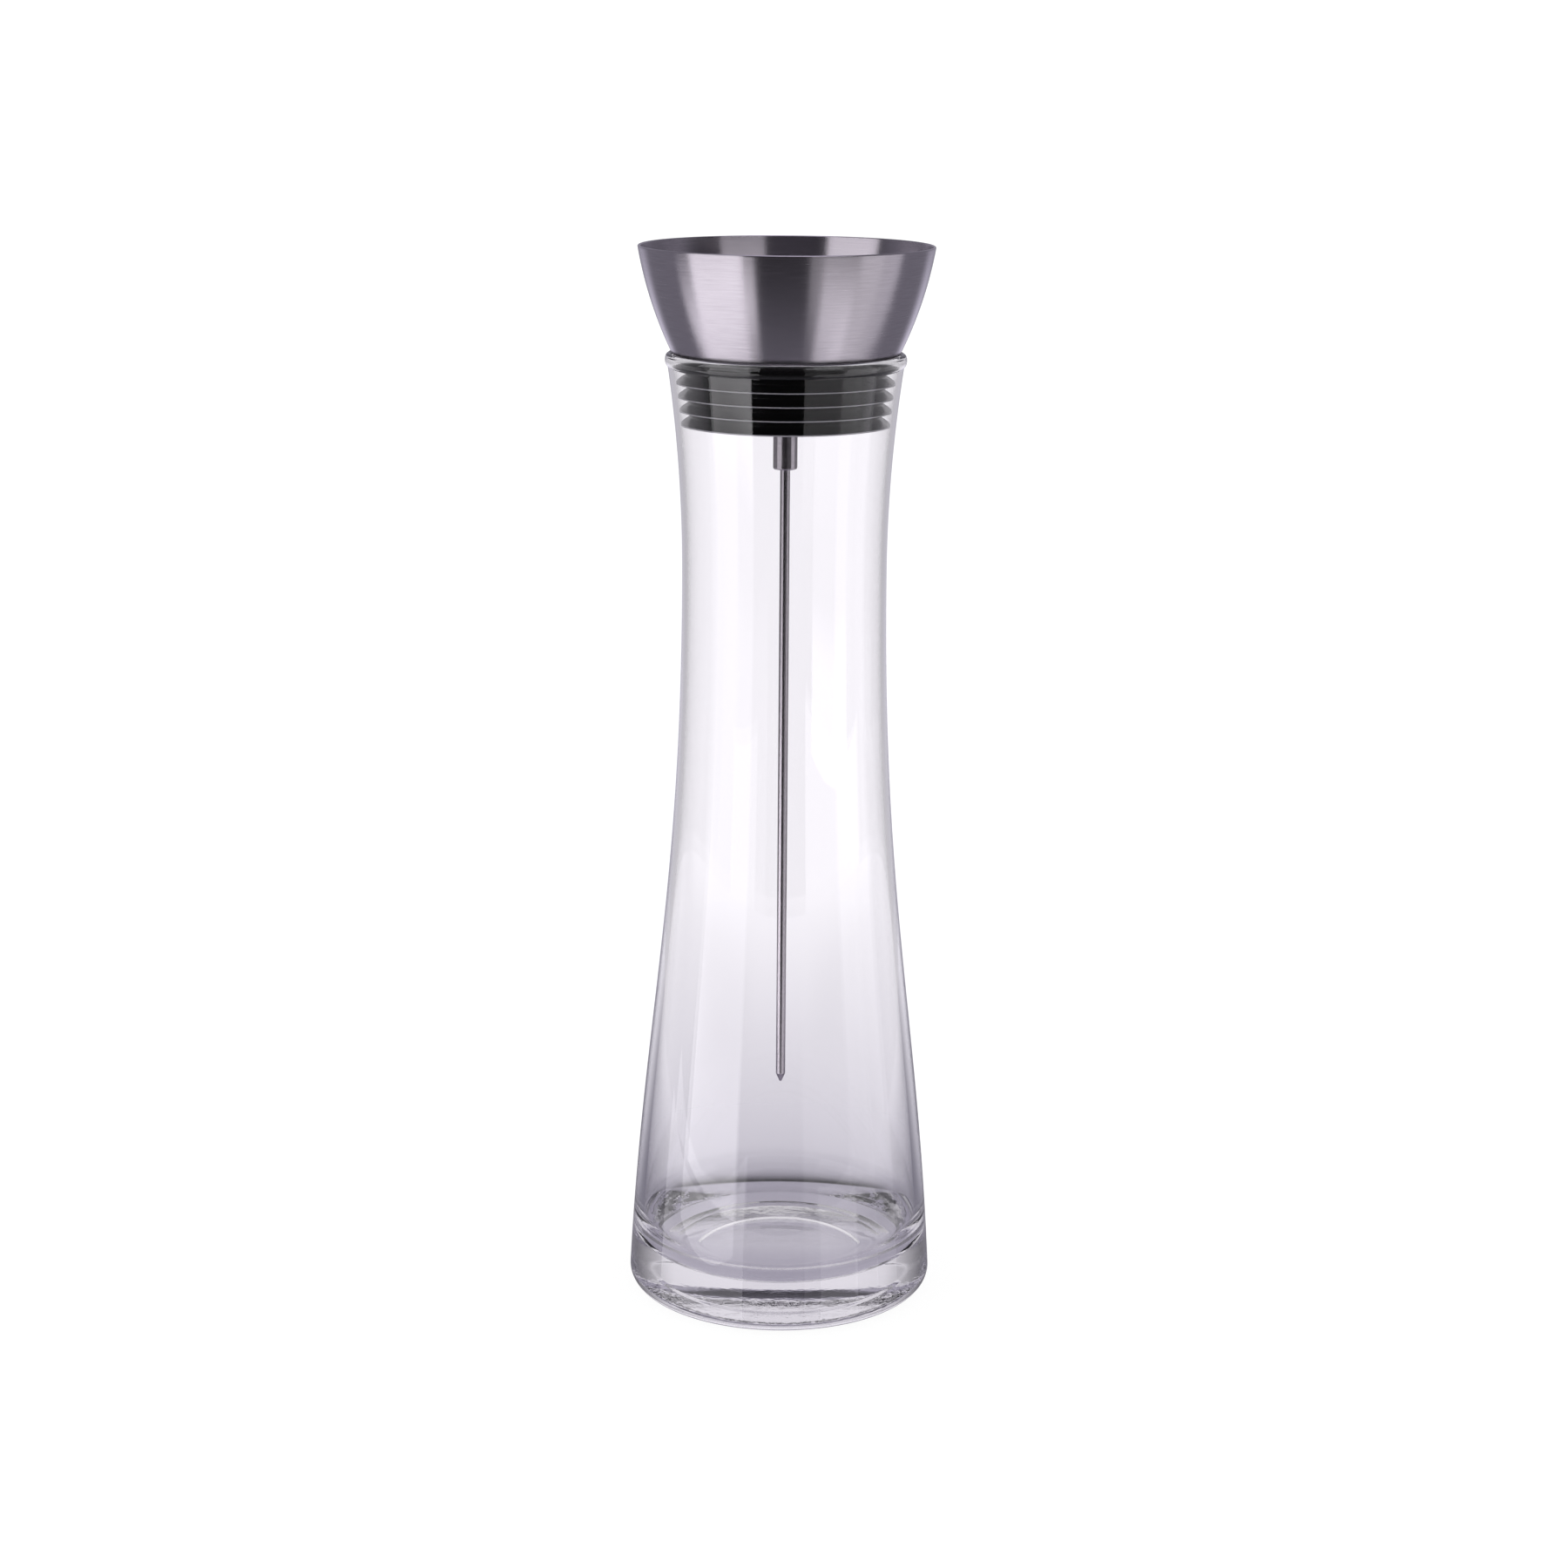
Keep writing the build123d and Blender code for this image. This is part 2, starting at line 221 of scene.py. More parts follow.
def edged(line: np.ndarray, run: float) -> np.ndarray:
    """A closed line with a point added a short way in from both ends of each long edge.

    Args:
        line: Points in order.
        run: Distance of the added points from the edge's ends; edges under four times it are left alone.

    Returns:
        Array of shape (n, 2).
    """
    ahead = np.roll(line, -1, axis=0)
    length = np.hypot(*(ahead - line).T)
    step = (ahead - line) * (run / length)[:, None]
    rows = np.stack([line, line + step, ahead - step], axis=1)
    long = length > 4 * run
    return rows[np.stack([np.ones_like(long), long, long], axis=1)]


def evenly(line: np.ndarray, count: int) -> np.ndarray:
    """The same line with its points evenly spaced along its length.

    Args:
        line: Points in order.
        count: Number of points along the line.

    Returns:
        Array of shape (count, 2).
    """
    along = np.concatenate([[0.0], np.cumsum(np.hypot(*np.diff(line, axis=0).T))])
    places = np.linspace(0.0, along[-1], count)
    return np.stack([np.interp(places, along, line[:, axis]) for axis in (0, 1)], axis=1)


def eased(line: np.ndarray, reach: int) -> np.ndarray:
    """The line with its creases eased: each point becomes a bell-weighted mean of its neighbours.

    Args:
        line: Evenly spaced points.
        reach: Neighbours on each side that count.

    Returns:
        Array of the same shape, with both ends where they were.
    """
    bell = np.hanning(2 * reach + 3)[1:-1]
    bell /= bell.sum()
    front = 2 * line[0] - line[reach:0:-1]
    tail = 2 * line[-1] - line[-2 : -reach - 2 : -1]
    padded = np.concatenate([front, line, tail])
    return np.stack([np.convolve(padded[:, axis], bell, mode="valid") for axis in (0, 1)], axis=1)


def off_floor(side: np.ndarray, level: float, radius: float, count: int) -> np.ndarray:
    """A flat floor turned up into a side wall through an arc that is tangent to both.

    The arc's centre is where the wall, moved inwards by the arc's radius, is that radius above the floor.

    Args:
        side: Points up the wall, from at or below the floor.
        level: Height of the floor.
        radius: Radius of the arc.
        count: Points on the arc.

    Returns:
        The arc, from the floor up, and the rest of the wall.
    """
    run = np.gradient(side, axis=0)
    run /= np.hypot(run[:, 0], run[:, 1])[:, None]
    outward = np.stack([run[:, 1], -run[:, 0]], axis=1)
    inner = side - radius * outward
    order = np.arange(len(side))
    place = np.interp(level + radius, inner[:, 1], order)
    centre = np.array([np.interp(place, order, inner[:, axis]) for axis in (0, 1)])
    touch = np.array([np.interp(place, order, side[:, axis]) for axis in (0, 1)])
    last = np.arctan2(*(touch - centre)[::-1])
    angles = np.linspace(-np.pi / 2, last, count)
    arc = centre + radius * np.stack([np.cos(angles), np.sin(angles)], axis=1)
    return np.concatenate([arc, side[side[:, 1] > touch[1] + FILLET_MARGIN * radius]])


@dataclass
class Shell:
    """A closed surface in millimetres, with the true normal at each point."""

    points: np.ndarray
    normals: np.ndarray
    quads: np.ndarray
    triangles: np.ndarray
    # Share of the painted highlight at each point, if the shell has one
    painted_highlight: np.ndarray | None = None

    def moved(self, offset: tuple[float, float, float]) -> "Shell":
        """The shell carried by an offset."""
        return Shell(self.points + np.asarray(offset), self.normals, self.quads, self.triangles)

    def lying_along_x(self) -> "Shell":
        """The shell with its axis turned from Z to X, by passing each coordinate on to the next axis."""
        return Shell(self.points[:, [2, 0, 1]], self.normals[:, [2, 0, 1]], self.quads, self.triangles)


def profile_normals(profile: np.ndarray, loop: bool) -> np.ndarray:
    """Normals of a profile: the mean of the two edges at each point, weighted by their lengths.

    Args:
        profile: Points with the solid on the left of the way they run.
        loop: Whether the last point joins the first.

    Returns:
        Unit normals of shape (n, 2).
    """
    edges = np.roll(profile, -1, axis=0) - profile
    edges[-1] *= 1.0 if loop else 0.0
    outward = np.stack([edges[:, 1], -edges[:, 0]], axis=1)
    total = outward + np.roll(outward, 1, axis=0)
    if not loop:
        total[[0, -1], 0] = 0.0
    return total / np.maximum(np.hypot(total[:, 0], total[:, 1]), LEAST_LENGTH)[:, None]


def turned(profile: np.ndarray, segments: int) -> Shell:
    """Surface of revolution: the point at (u, v) is (r(u) cos v, r(u) sin v, z(u)).

    A profile with both ends on the axis gets a pole at each end, and any other is a ring's section.

    Args:
        profile: (radius, height) points, anticlockwise round the solid.
        segments: Faces round the axis.

    Returns:
        The closed shell.
    """
    loop = profile[0, 0] > SAME_POINT
    slopes = profile_normals(profile, loop)
    angles = np.linspace(0.0, 2 * np.pi, segments, endpoint=False)
    ring = np.stack([np.cos(angles), np.sin(angles)], axis=1)

    def spun(pairs: np.ndarray) -> np.ndarray:
        """Each (radial, axial) pair carried round the axis.

        Args:
            pairs: Array of shape (n, 2).

        Returns:
            Array of shape (n, segments, 3).
        """
        around = pairs[:, None, :1] * ring[None]
        upward = np.broadcast_to(pairs[:, None, 1:], (len(pairs), segments, 1))
        return np.concatenate([around, upward], axis=2)

    rows = slice(None) if loop else slice(1, -1)
    points, normals = spun(profile[rows]), spun(slopes[rows])
    return grid_shell(points, normals, loop, profile[[0, -1], 1], slopes[[0, -1], 1])


def grid_shell(
    points: np.ndarray, normals: np.ndarray, loop: bool, pole_heights: np.ndarray, pole_normals: np.ndarray
) -> Shell:
    """Faces for a grid of points that is closed round its columns.

    Args:
        points: Array of shape (rows, columns, 3).
        normals: Array of the same shape.
        loop: Whether the last row joins the first; if not, a pole on the axis closes each end.
        pole_heights: Heights of the first and the last pole.
        pole_normals: Their normals along Z.

    Returns:
        The closed shell.
    """
    rows, columns = points.shape[:2]
    index = np.arange(rows * columns).reshape(rows, columns)
    beside = np.roll(index, -1, axis=1)
    above, above_beside = np.roll(index, -1, axis=0), np.roll(beside, -1, axis=0)
    quads = np.stack([index, beside, above_beside, above], axis=2)
    flat_points, flat_normals = points.reshape(-1, 3), normals.reshape(-1, 3)
    if loop:
        return Shell(flat_points, flat_normals, quads.reshape(-1, 4), np.empty((0, 3), dtype=int))
    first, last = rows * columns, rows * columns + 1
    bottom = np.stack([np.full(columns, first), beside[0], index[0]], axis=1)
    top = np.stack([index[-1], beside[-1], np.full(columns, last)], axis=1)
    zero = np.zeros(2)
    return Shell(
        np.concatenate([flat_points, np.stack([zero, zero, pole_heights], axis=1)]),
        np.concatenate([flat_normals, np.stack([zero, zero, np.sign(pole_normals)], axis=1)]),
        quads[:-1].reshape(-1, 4),
        np.concatenate([bottom, top]),
    )


def mesh_object(name: str, shells: Sequence[Shell]) -> bpy.types.Object:
    """Puts shells into one mesh object at the origin, in metres, shaded by their true normals.

    Args:
        name: Name of the object and its mesh.
        shells: Closed shells in millimetres.

    Returns:
        The new object, linked to the scene.
    """
    starts = np.cumsum([0] + [len(shell.points) for shell in shells])
    points = np.concatenate([shell.points for shell in shells]) * METRES_PER_MM
    normals = np.concatenate([shell.normals for shell in shells])
    quads = np.concatenate([shell.quads + start for shell, start in zip(shells, starts)])
    triangles = np.concatenate([shell.triangles + start for shell, start in zip(shells, starts)])
    corners = np.concatenate([quads.ravel(), triangles.ravel()])
    sides = np.concatenate([np.full(len(quads), 4), np.full(len(triangles), 3)])
    mesh = bpy.data.meshes.new(name)
    mesh.vertices.add(len(points))
    mesh.vertices.foreach_set("co", points.ravel())
    mesh.loops.add(len(corners))
    mesh.loops.foreach_set("vertex_index", corners.astype(np.int32))
    mesh.polygons.add(len(sides))
    mesh.polygons.foreach_set("loop_start", np.concatenate([[0], np.cumsum(sides)[:-1]]).astype(np.int32))
    mesh.update(calc_edges=True)
    mesh.shade_smooth()
    mesh.normals_split_custom_set_from_vertices(normals)
    # A shell's painted highlight goes in as an attribute of its points
    if shells[0].painted_highlight is not None:
        highlight_share = mesh.attributes.new(HIGHLIGHT_ATTRIBUTE, "FLOAT", "POINT")
        highlight_share.data.foreach_set("value", shells[0].painted_highlight.astype(np.float32))
    piece = bpy.data.objects.new(name, mesh)
    bpy.context.scene.collection.objects.link(piece)
    return piece


# Finishes


def linear(code: str) -> tuple[float, float, float, float]:
    """An sRGB colour as linear light, by the standard's curve.

    Args:
        code: Hex code with a leading hash.

    Returns:
        Linear red, green and blue, and an alpha of one.
    """
    parts = np.array([int(code[place : place + 2], 16) for place in (1, 3, 5)]) / 255
    values = np.where(parts <= 0.04045, parts / 12.92, ((parts + 0.055) / 1.055) ** 2.4)
    return (*values.tolist(), 1.0)


def add_node(
    tree: bpy.types.NodeTree,
    kind: str,
    inputs: Mapping[str | int, object] | Sequence[object] = (),
    **settings: object,
) -> bpy.types.Node:
    """Adds a shader node, gives it its settings, and sets or links its inputs.

    Args:
        tree: Node tree to add to.
        kind: Node type, without the words that all shader nodes start with.
        inputs: What the inputs get, in order or by name or number: a value, the socket that feeds it, or
            the node whose first live output does.
        settings: Attributes of the node.

    Returns:
        The new node.
    """
    node = tree.nodes.new(f"ShaderNode{kind}")
    for name, value in settings.items():
        setattr(node, name, value)
    pairs = inputs.items() if isinstance(inputs, Mapping) else enumerate(inputs)
    for name, value in pairs:
        if isinstance(value, bpy.types.Node):
            value = next(socket for socket in value.outputs if socket.enabled)
        if isinstance(value, bpy.types.NodeSocket):
            tree.links.new(value, node.inputs[name])
        else:
            node.inputs[name].default_value = value
    return node


@dataclass(frozen=True)
class Finish:
    """A procedural material; each kind of finish paints its own nodes."""

    name: str

    def material(self) -> bpy.types.Material:
        """Gives the material of this finish, and makes it on first use.

        Returns:
            The material.
        """
        found = bpy.data.materials.get(self.name)
        if found:
            return found
        material = bpy.data.materials.new(self.name)
        material.use_nodes = True
        tree = material.node_tree
        tree.nodes.clear()
        add_node(tree, "OutputMaterial", self.paint(tree))
        return material

    def paint(self, tree: bpy.types.NodeTree) -> dict[str, bpy.types.Node]:
        """Adds this finish's nodes and gives the last ones, by the output's inputs that they feed."""
        raise NotImplementedError

    def dress(self, piece: bpy.types.Object) -> None:
        """Gives an object this finish, in all its slots.

        Args:
            piece: A piece or a CAD node.
        """
        if piece.material_slots:
            for holder in piece.material_slots:
                holder.material = self.material()
        else:
            piece.data.materials.append(self.material())


@dataclass(frozen=True)
class BlownGlass(Finish):
    """Soda-lime glass, blown and fire polished: clear, with a lavender-grey cast where it is thick."""

    tint: str = "#D4D0DA"
    tint_depth_mm: float = 200.0
    ior: float = 1.5
    wave_mm: float = 34.0
    wave_height_mm: float = 0.012
    stipple_mm: float = 3.0
    stipple_detail: float = 2.0
    stipple_height_mm: float = 0.06
    stipple_top_mm: float = 4.0

    def paint(self, tree: bpy.types.NodeTree) -> dict[str, bpy.types.Node]:
        """Clear refraction, a slow ripple, a stippled underside, and absorption through the thickness.

        Args:
            tree: The material's nodes.

        Returns:
            The last nodes, by the output's inputs that they feed.
        """
        place = add_node(tree, "TexCoord").outputs["Object"]
        wave_scale, stipple_scale = (1 / (size * METRES_PER_MM) for size in (self.wave_mm, self.stipple_mm))
        ripple = add_node(tree, "TexNoise", {"Vector": place, "Scale": wave_scale, "Detail": 0.0})
        stipple = add_node(
            tree, "TexNoise", {"Vector": place, "Scale": stipple_scale, "Detail": self.stipple_detail}
        )
        height = add_node(tree, "SeparateXYZ", {"Vector": place}).outputs["Z"]
        stipple_top = self.stipple_top_mm * METRES_PER_MM
        stipple_height = self.stipple_height_mm * METRES_PER_MM
        underside = add_node(tree, "MapRange", (height, 0.0, stipple_top, stipple_height, 0.0))
        grain = add_node(tree, "Math", (stipple, underside), operation="MULTIPLY")
        wave_height = self.wave_height_mm * METRES_PER_MM
        relief = add_node(tree, "Math", (ripple, wave_height, grain), operation="MULTIPLY_ADD")
        surface = add_node(tree, "Bump", {"Height": relief, "Strength": 1.0, "Distance": 1.0})
        shader = add_node(
            tree,
            "BsdfPrincipled",
            {
                "Base Color": WHITE,
                "Roughness": 0.0,
                "IOR": self.ior,
                "Transmission Weight": 1.0,
                "Normal": surface,
            },
        )
        density = 1 / (self.tint_depth_mm * METRES_PER_MM)
        depth = add_node(tree, "VolumeAbsorption", {"Color": linear(self.tint), "Density": density})
        return {"Surface": shader, "Volume": depth}


@dataclass(frozen=True)
class BrushedSteel(Finish):
    """Stainless steel brushed round its axis: hair lines that draw each reflection out across them."""

    pale: str = "#D8D2D9"
    dull: str = "#B3ADB4"
    line_mm: float = 0.16
    line_height_mm: float = 0.004
    line_detail: float = 3.0
    line_roughness: float = 0.6
    run: float = 3.0
    roughness: float = 0.25
    roughness_swing: float = 0.05
    swing: Span = (0.25, 0.75)
    stretch: float = 0.93
    stretch_turn: float = 0.25

    def paint(self, tree: bpy.types.NodeTree) -> dict[str, bpy.types.Node]:
        """Lines from noise that changes fast along the profile and slowly round the axis.

        Args:
            tree: The material's nodes.

        Returns:
            The last node, by the output's input that it feeds.
        """
        place = add_node(tree, "TexCoord").outputs["Object"]
        height = add_node(tree, "SeparateXYZ", {"Vector": place}).outputs["Z"]
        flat = add_node(tree, "VectorMath", (place, (1.0, 1.0, 0.0)), operation="MULTIPLY")
        radius = add_node(tree, "VectorMath", (flat,), operation="LENGTH")
        heading = add_node(tree, "VectorMath", (flat,), operation="NORMALIZE")
        around = add_node(tree, "VectorMath", {0: heading, "Scale": self.run}, operation="SCALE")
        climb = add_node(tree, "Math", (height, radius), operation="ADD")
        # Real hair lines are about 0.05 mm apart; these are coarser, so that they show in a picture.
        line_scale = 1 / (self.line_mm * METRES_PER_MM)
        lines = add_node(tree, "Math", (climb, line_scale), operation="MULTIPLY")
        upward = add_node(tree, "CombineXYZ", {"Z": lines})
        spread = add_node(tree, "VectorMath", (around, upward), operation="ADD")
        hair = add_node(
            tree,
            "TexNoise",
            {"Vector": spread, "Scale": 1.0, "Detail": self.line_detail, "Roughness": self.line_roughness},
        )
        colours = {FACTOR: hair, COLOUR_A: linear(self.dull), COLOUR_B: linear(self.pale)}
        colour = add_node(tree, "Mix", colours, **COLOURED)
        half = self.roughness_swing / 2
        gloss = (self.roughness - half, self.roughness + half)
        rough = add_node(tree, "MapRange", (hair, *self.swing, *gloss))
        line_height = self.line_height_mm * METRES_PER_MM
        relief = add_node(tree, "Bump", {"Height": hair, "Strength": 1.0, "Distance": line_height})
        shader = add_node(
            tree,
            "BsdfPrincipled",
            {
                "Base Color": colour,
                "Metallic": 1.0,
                "Roughness": rough,
                "Anisotropic": self.stretch,
                "Anisotropic Rotation": self.stretch_turn,
                "Tangent": add_node(tree, "Tangent", direction_type="RADIAL", axis="Z"),
                "Normal": relief,
            },
        )
        return {"Surface": shader}


@dataclass(frozen=True)
class Moulded(Finish):
    """A moulded black or pale polymer: a soft sheen broken by the mould's fine grain."""

    deep: str = "#0A0A0B"
    pale: str = "#141416"
    grain_mm: float = 0.35
    grain_height_mm: float = 0.006
    grain_detail: float = 2.0
    grains_per_cloud: float = 24.0
    cloud_detail: float = 3.0
    roughness: float = 0.40
    roughness_swing: float = 0.10
    swing: Span = (0.3, 0.7)
    ior: float = 1.45
    # Pale colour of the painted highlight, laid on where the mesh's attribute asks for it
    highlight_colour: str = "#141416"

    def paint(self, tree: bpy.types.NodeTree) -> dict[str, bpy.types.Node]:
        """Colour, gloss and relief from one fine noise and one broad one, with a painted highlight laid on.

        Args:
            tree: The material's nodes.

        Returns:
            The last node, by the output's input that it feeds.
        """
        place = add_node(tree, "TexCoord").outputs["Object"]
        scale = 1 / (self.grain_mm * METRES_PER_MM)
        grain = add_node(tree, "TexNoise", {"Vector": place, "Scale": scale, "Detail": self.grain_detail})
        cloud_scale = scale / self.grains_per_cloud
        cloud = add_node(
            tree, "TexNoise", {"Vector": place, "Scale": cloud_scale, "Detail": self.cloud_detail}
        )
        colours = {FACTOR: cloud, COLOUR_A: linear(self.deep), COLOUR_B: linear(self.pale)}
        colour = add_node(tree, "Mix", colours, **COLOURED)
        # Painted highlight: the pale colour mixed in by the mesh's attribute
        highlight_share = add_node(tree, "Attribute", attribute_name=HIGHLIGHT_ATTRIBUTE).outputs["Fac"]
        shades = {FACTOR: highlight_share, COLOUR_A: colour, COLOUR_B: linear(self.highlight_colour)}
        shade = add_node(tree, "Mix", shades, **COLOURED)
        half = self.roughness_swing / 2
        gloss = (self.roughness - half, self.roughness + half)
        rough = add_node(tree, "MapRange", (cloud, *self.swing, *gloss))
        grain_height = self.grain_height_mm * METRES_PER_MM
        relief = add_node(tree, "Bump", {"Height": grain, "Strength": 1.0, "Distance": grain_height})
        shader = add_node(
            tree,
            "BsdfPrincipled",
            {"Base Color": shade, "Roughness": rough, "IOR": self.ior, "Normal": relief},
        )
        return {"Surface": shader}


# Blown glass is flame smooth: clear, with soft waves in what it mirrors and a grey cast where it is thick.
GLASS = BlownGlass("blown soda-lime glass")
# Spun sheet is brushed as it turns: broad bands of light that run up and down the funnel.
FUNNEL_STEEL = BrushedSteel("brushed stainless steel", line_mm=0.32, run=5.0)
# Drawn rod is ground between wheels: a tighter shine than the brushed sheet.
ROD_STEEL = BrushedSteel("ground stainless rod", line_mm=0.3, roughness=0.24, stretch=0.5)
# Turned fittings keep the tool's fine rings: a plain grey shine.
FITTING_STEEL = BrushedSteel("turned stainless steel", line_mm=0.12, roughness=0.26, stretch=0.4)
# Silicone rubber has the mould's satin face: near black, a broad soft sheen, painted highlights at the tips.
SILICONE = Moulded(
    "black silicone rubber",
    deep="#030304",
    pale="#060608",
    grain_height_mm=0.0012,
    roughness=0.22,
    ior=1.5,
    highlight_colour="#C9C6CE",
)
# Glass-filled polypropylene from a spark-eroded mould: greyer than the rubber, with a visible grain.
PLASTIC = Moulded(
    "black moulded polypropylene", grain_mm=0.5, grain_height_mm=0.012, roughness=0.46, ior=1.49
)
# Nylon as it comes from the mould: a warm, slightly waxy white.
NYLON = Moulded("natural nylon", deep="#D9D5C8", pale="#E6E2D6", roughness=0.38, ior=1.53)


# Sub-assemblies


def place_piece(
    name: str, shells: Sequence[Shell], finish: Finish, body: Body, node: str
) -> bpy.types.Object:
    """Makes a piece that stands for a CAD node, dresses it and lets it ride on its body.

    Args:
        name: Name of the piece.
        shells: Its closed shells.
        finish: Its finish.
        body: Body that it rides on.
        node: CAD node that it stands for.

    Returns:
        The piece.
    """
    piece = mesh_object(name, shells)
    finish.dress(piece)
    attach(piece, body.value)
    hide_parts(node)
    LOG.info("%s stands for %s on %s", name, node, body.value)
    return piece


@dataclass
class GlassBody:
    """The waisted glass: a thick foot, a wall that thins upwards and a rolled rim."""

    height: float = 298.0
    foot_radius: float = 48.4
    foot_lean: float = 0.05
    foot_edge: float = 5.0
    foot_pull: float = 0.378
    punt_radius: float = 38.0
    punt_depth: float = 1.5
    punt_ring: float = 26.5
    punt_step: float = 0.3
    punt_step_run: float = 1.5
    waist_radius: float = 31.35
    waist_height: float = 233.0
    waist_pull: float = 0.457
    neck_radius: float = 35.95
    bead_height: float = 4.1
    bead_depth: float = 1.1
    wall_foot: float = 3.2
    wall_neck: float = 1.6
    floor: float = 12.5
    floor_corner: float = 14.0
    rim_round: float = 1.0
    rim_inset: float = 0.9
    bead_start: float = 289.0
    punt_points: int = 77
    foot_points: int = 18
    side_points: int = 260
    wall_points: int = 84
    neck_points: int = 30
    lead_points: int = 60
    bead_points: int = 400
    rim_points: int = 150
    rim_ease: int = 3
    corner_points: int = 22
    floor_points: int = 8
    segments: int = 200

    @property
    def neck_top(self) -> float:
        """Height of the middle of the rim's bead."""
        return self.height - self.bead_height / 2

    @property
    def neck_curve(self) -> float:
        """Radius of the neck's arc: rise squared plus flare squared, over twice the flare."""
        rise, flare = self.neck_top - self.waist_height, self.neck_radius - self.waist_radius
        return (rise**2 + flare**2) / (2 * flare)

    def neck(self, heights: np.ndarray | float) -> np.ndarray | float:
        """Outer radius of the neck: an arc that leaves the waist straight up."""
        drop = np.sqrt(self.neck_curve**2 - (heights - self.waist_height) ** 2)
        return self.waist_radius + self.neck_curve - drop

    def bore(self, heights: np.ndarray | float) -> np.ndarray | float:
        """Inner radius of the neck."""
        return self.neck(heights) - self.wall_neck

    def side(self, foot_wall: float, neck_wall: float) -> np.ndarray:
        """The side from foot to waist, set in by a wall that changes evenly, as a cubic curve.

        Args:
            foot_wall: How far the curve is set in at the foot.
            neck_wall: How far it is set in at the waist.

        Returns:
            Points up the side.
        """
        foot_pull, waist_pull = self.foot_pull * self.waist_height, self.waist_pull * self.waist_height
        foot, waist = self.foot_radius - foot_wall, self.waist_radius - neck_wall
        return bezier(
            (
                (foot, 0.0),
                (foot - self.foot_lean * foot_pull, foot_pull),
                (waist, self.waist_height - waist_pull),
                (waist, self.waist_height),
            ),
            self.side_points,
        )

    def rim(self) -> np.ndarray:
        """The top of the neck, from the outside over the rolled bead to the inside, with creases eased.

        The bead is half an ellipse, kept where it stands proud of the neck's arc.

        Returns:
            Evenly spaced points.
        """
        round_start = self.height - self.rim_round
        inner_end = np.array([self.bore(round_start), round_start])
        crown = inner_end[0] + self.rim_inset
        angles = np.linspace(-np.pi / 2, np.pi / 2, self.bead_points)
        bead_out = crown + self.bead_depth * np.cos(angles)
        bead_up = self.neck_top + self.bead_height / 2 * np.sin(angles)
        bead = np.stack([bead_out, bead_up], axis=1)
        bead = bead[bead[:, 0] > self.neck(bead[:, 1])]
        climb = np.linspace(self.bead_start, bead[0, 1], self.lead_points)
        outside = np.stack([self.neck(climb), climb], axis=1)
        lean = np.arcsin((round_start - self.waist_height) / self.neck_curve)
        heading = np.array([np.sin(lean), np.cos(lean)])
        lip = tangent_arc(inner_end, heading, np.array([crown, self.height]), self.lead_points)
        descent = np.linspace(round_start, self.bead_start, self.lead_points)
        inside = np.stack([self.bore(descent), descent], axis=1)
        whole = without_repeats(np.concatenate([outside, bead, lip[::-1], inside]))
        return eased(evenly(whole, self.rim_points), self.rim_ease)

    def profile(self) -> np.ndarray:
        """The whole section, from the punt round the outside, over the rim and down to the inner floor.

        The punt is a parabola with a shallow ring stepped into it: the step is s squared times (3 less 2 s).

        Returns:
            Points from axis to axis.
        """
        across = np.linspace(0.0, self.punt_radius, self.punt_points)
        inside = np.clip((self.punt_ring - across) / self.punt_step_run + 0.5, 0.0, 1.0)
        step = self.punt_step * inside**2 * (3 - 2 * inside)
        punt = np.stack([across, self.punt_depth * (1 - (across / self.punt_radius) ** 2) + step], axis=1)
        outer = off_floor(self.side(0.0, 0.0), 0.0, self.foot_edge, self.foot_points)
        inner_side = self.side(self.wall_foot, self.wall_neck)
        inner = off_floor(inner_side, self.floor, self.floor_corner, self.corner_points)
        foot_end, corner_end = self.foot_points - 1, self.corner_points - 1
        climb = np.linspace(self.waist_height, self.bead_start, self.neck_points)[1:-1]
        neck_outside = np.stack([self.neck(climb), climb], axis=1)
        neck_inside = np.stack([self.bore(climb), climb], axis=1)
        inwards = np.linspace(inner[0, 0], 0.0, self.floor_points)[1:]
        inner_floor = np.stack([inwards, np.full(len(inwards), self.floor)], axis=1)
        parts = [
            punt,
            outer[: foot_end + 1],
            evenly(outer[foot_end:], self.wall_points)[1:],
            neck_outside,
            self.rim(),
            neck_inside[::-1],
            evenly(inner[corner_end:], self.wall_points)[:0:-1],
            inner[corner_end::-1],
            inner_floor,
        ]
        return without_repeats(np.concatenate(parts))

    def build(self) -> None:
        """Builds the glass."""
        shell = turned(self.profile(), self.segments)
        place_piece("waisted_glass", [shell], GLASS, Body.CARAFE, "glass_body")


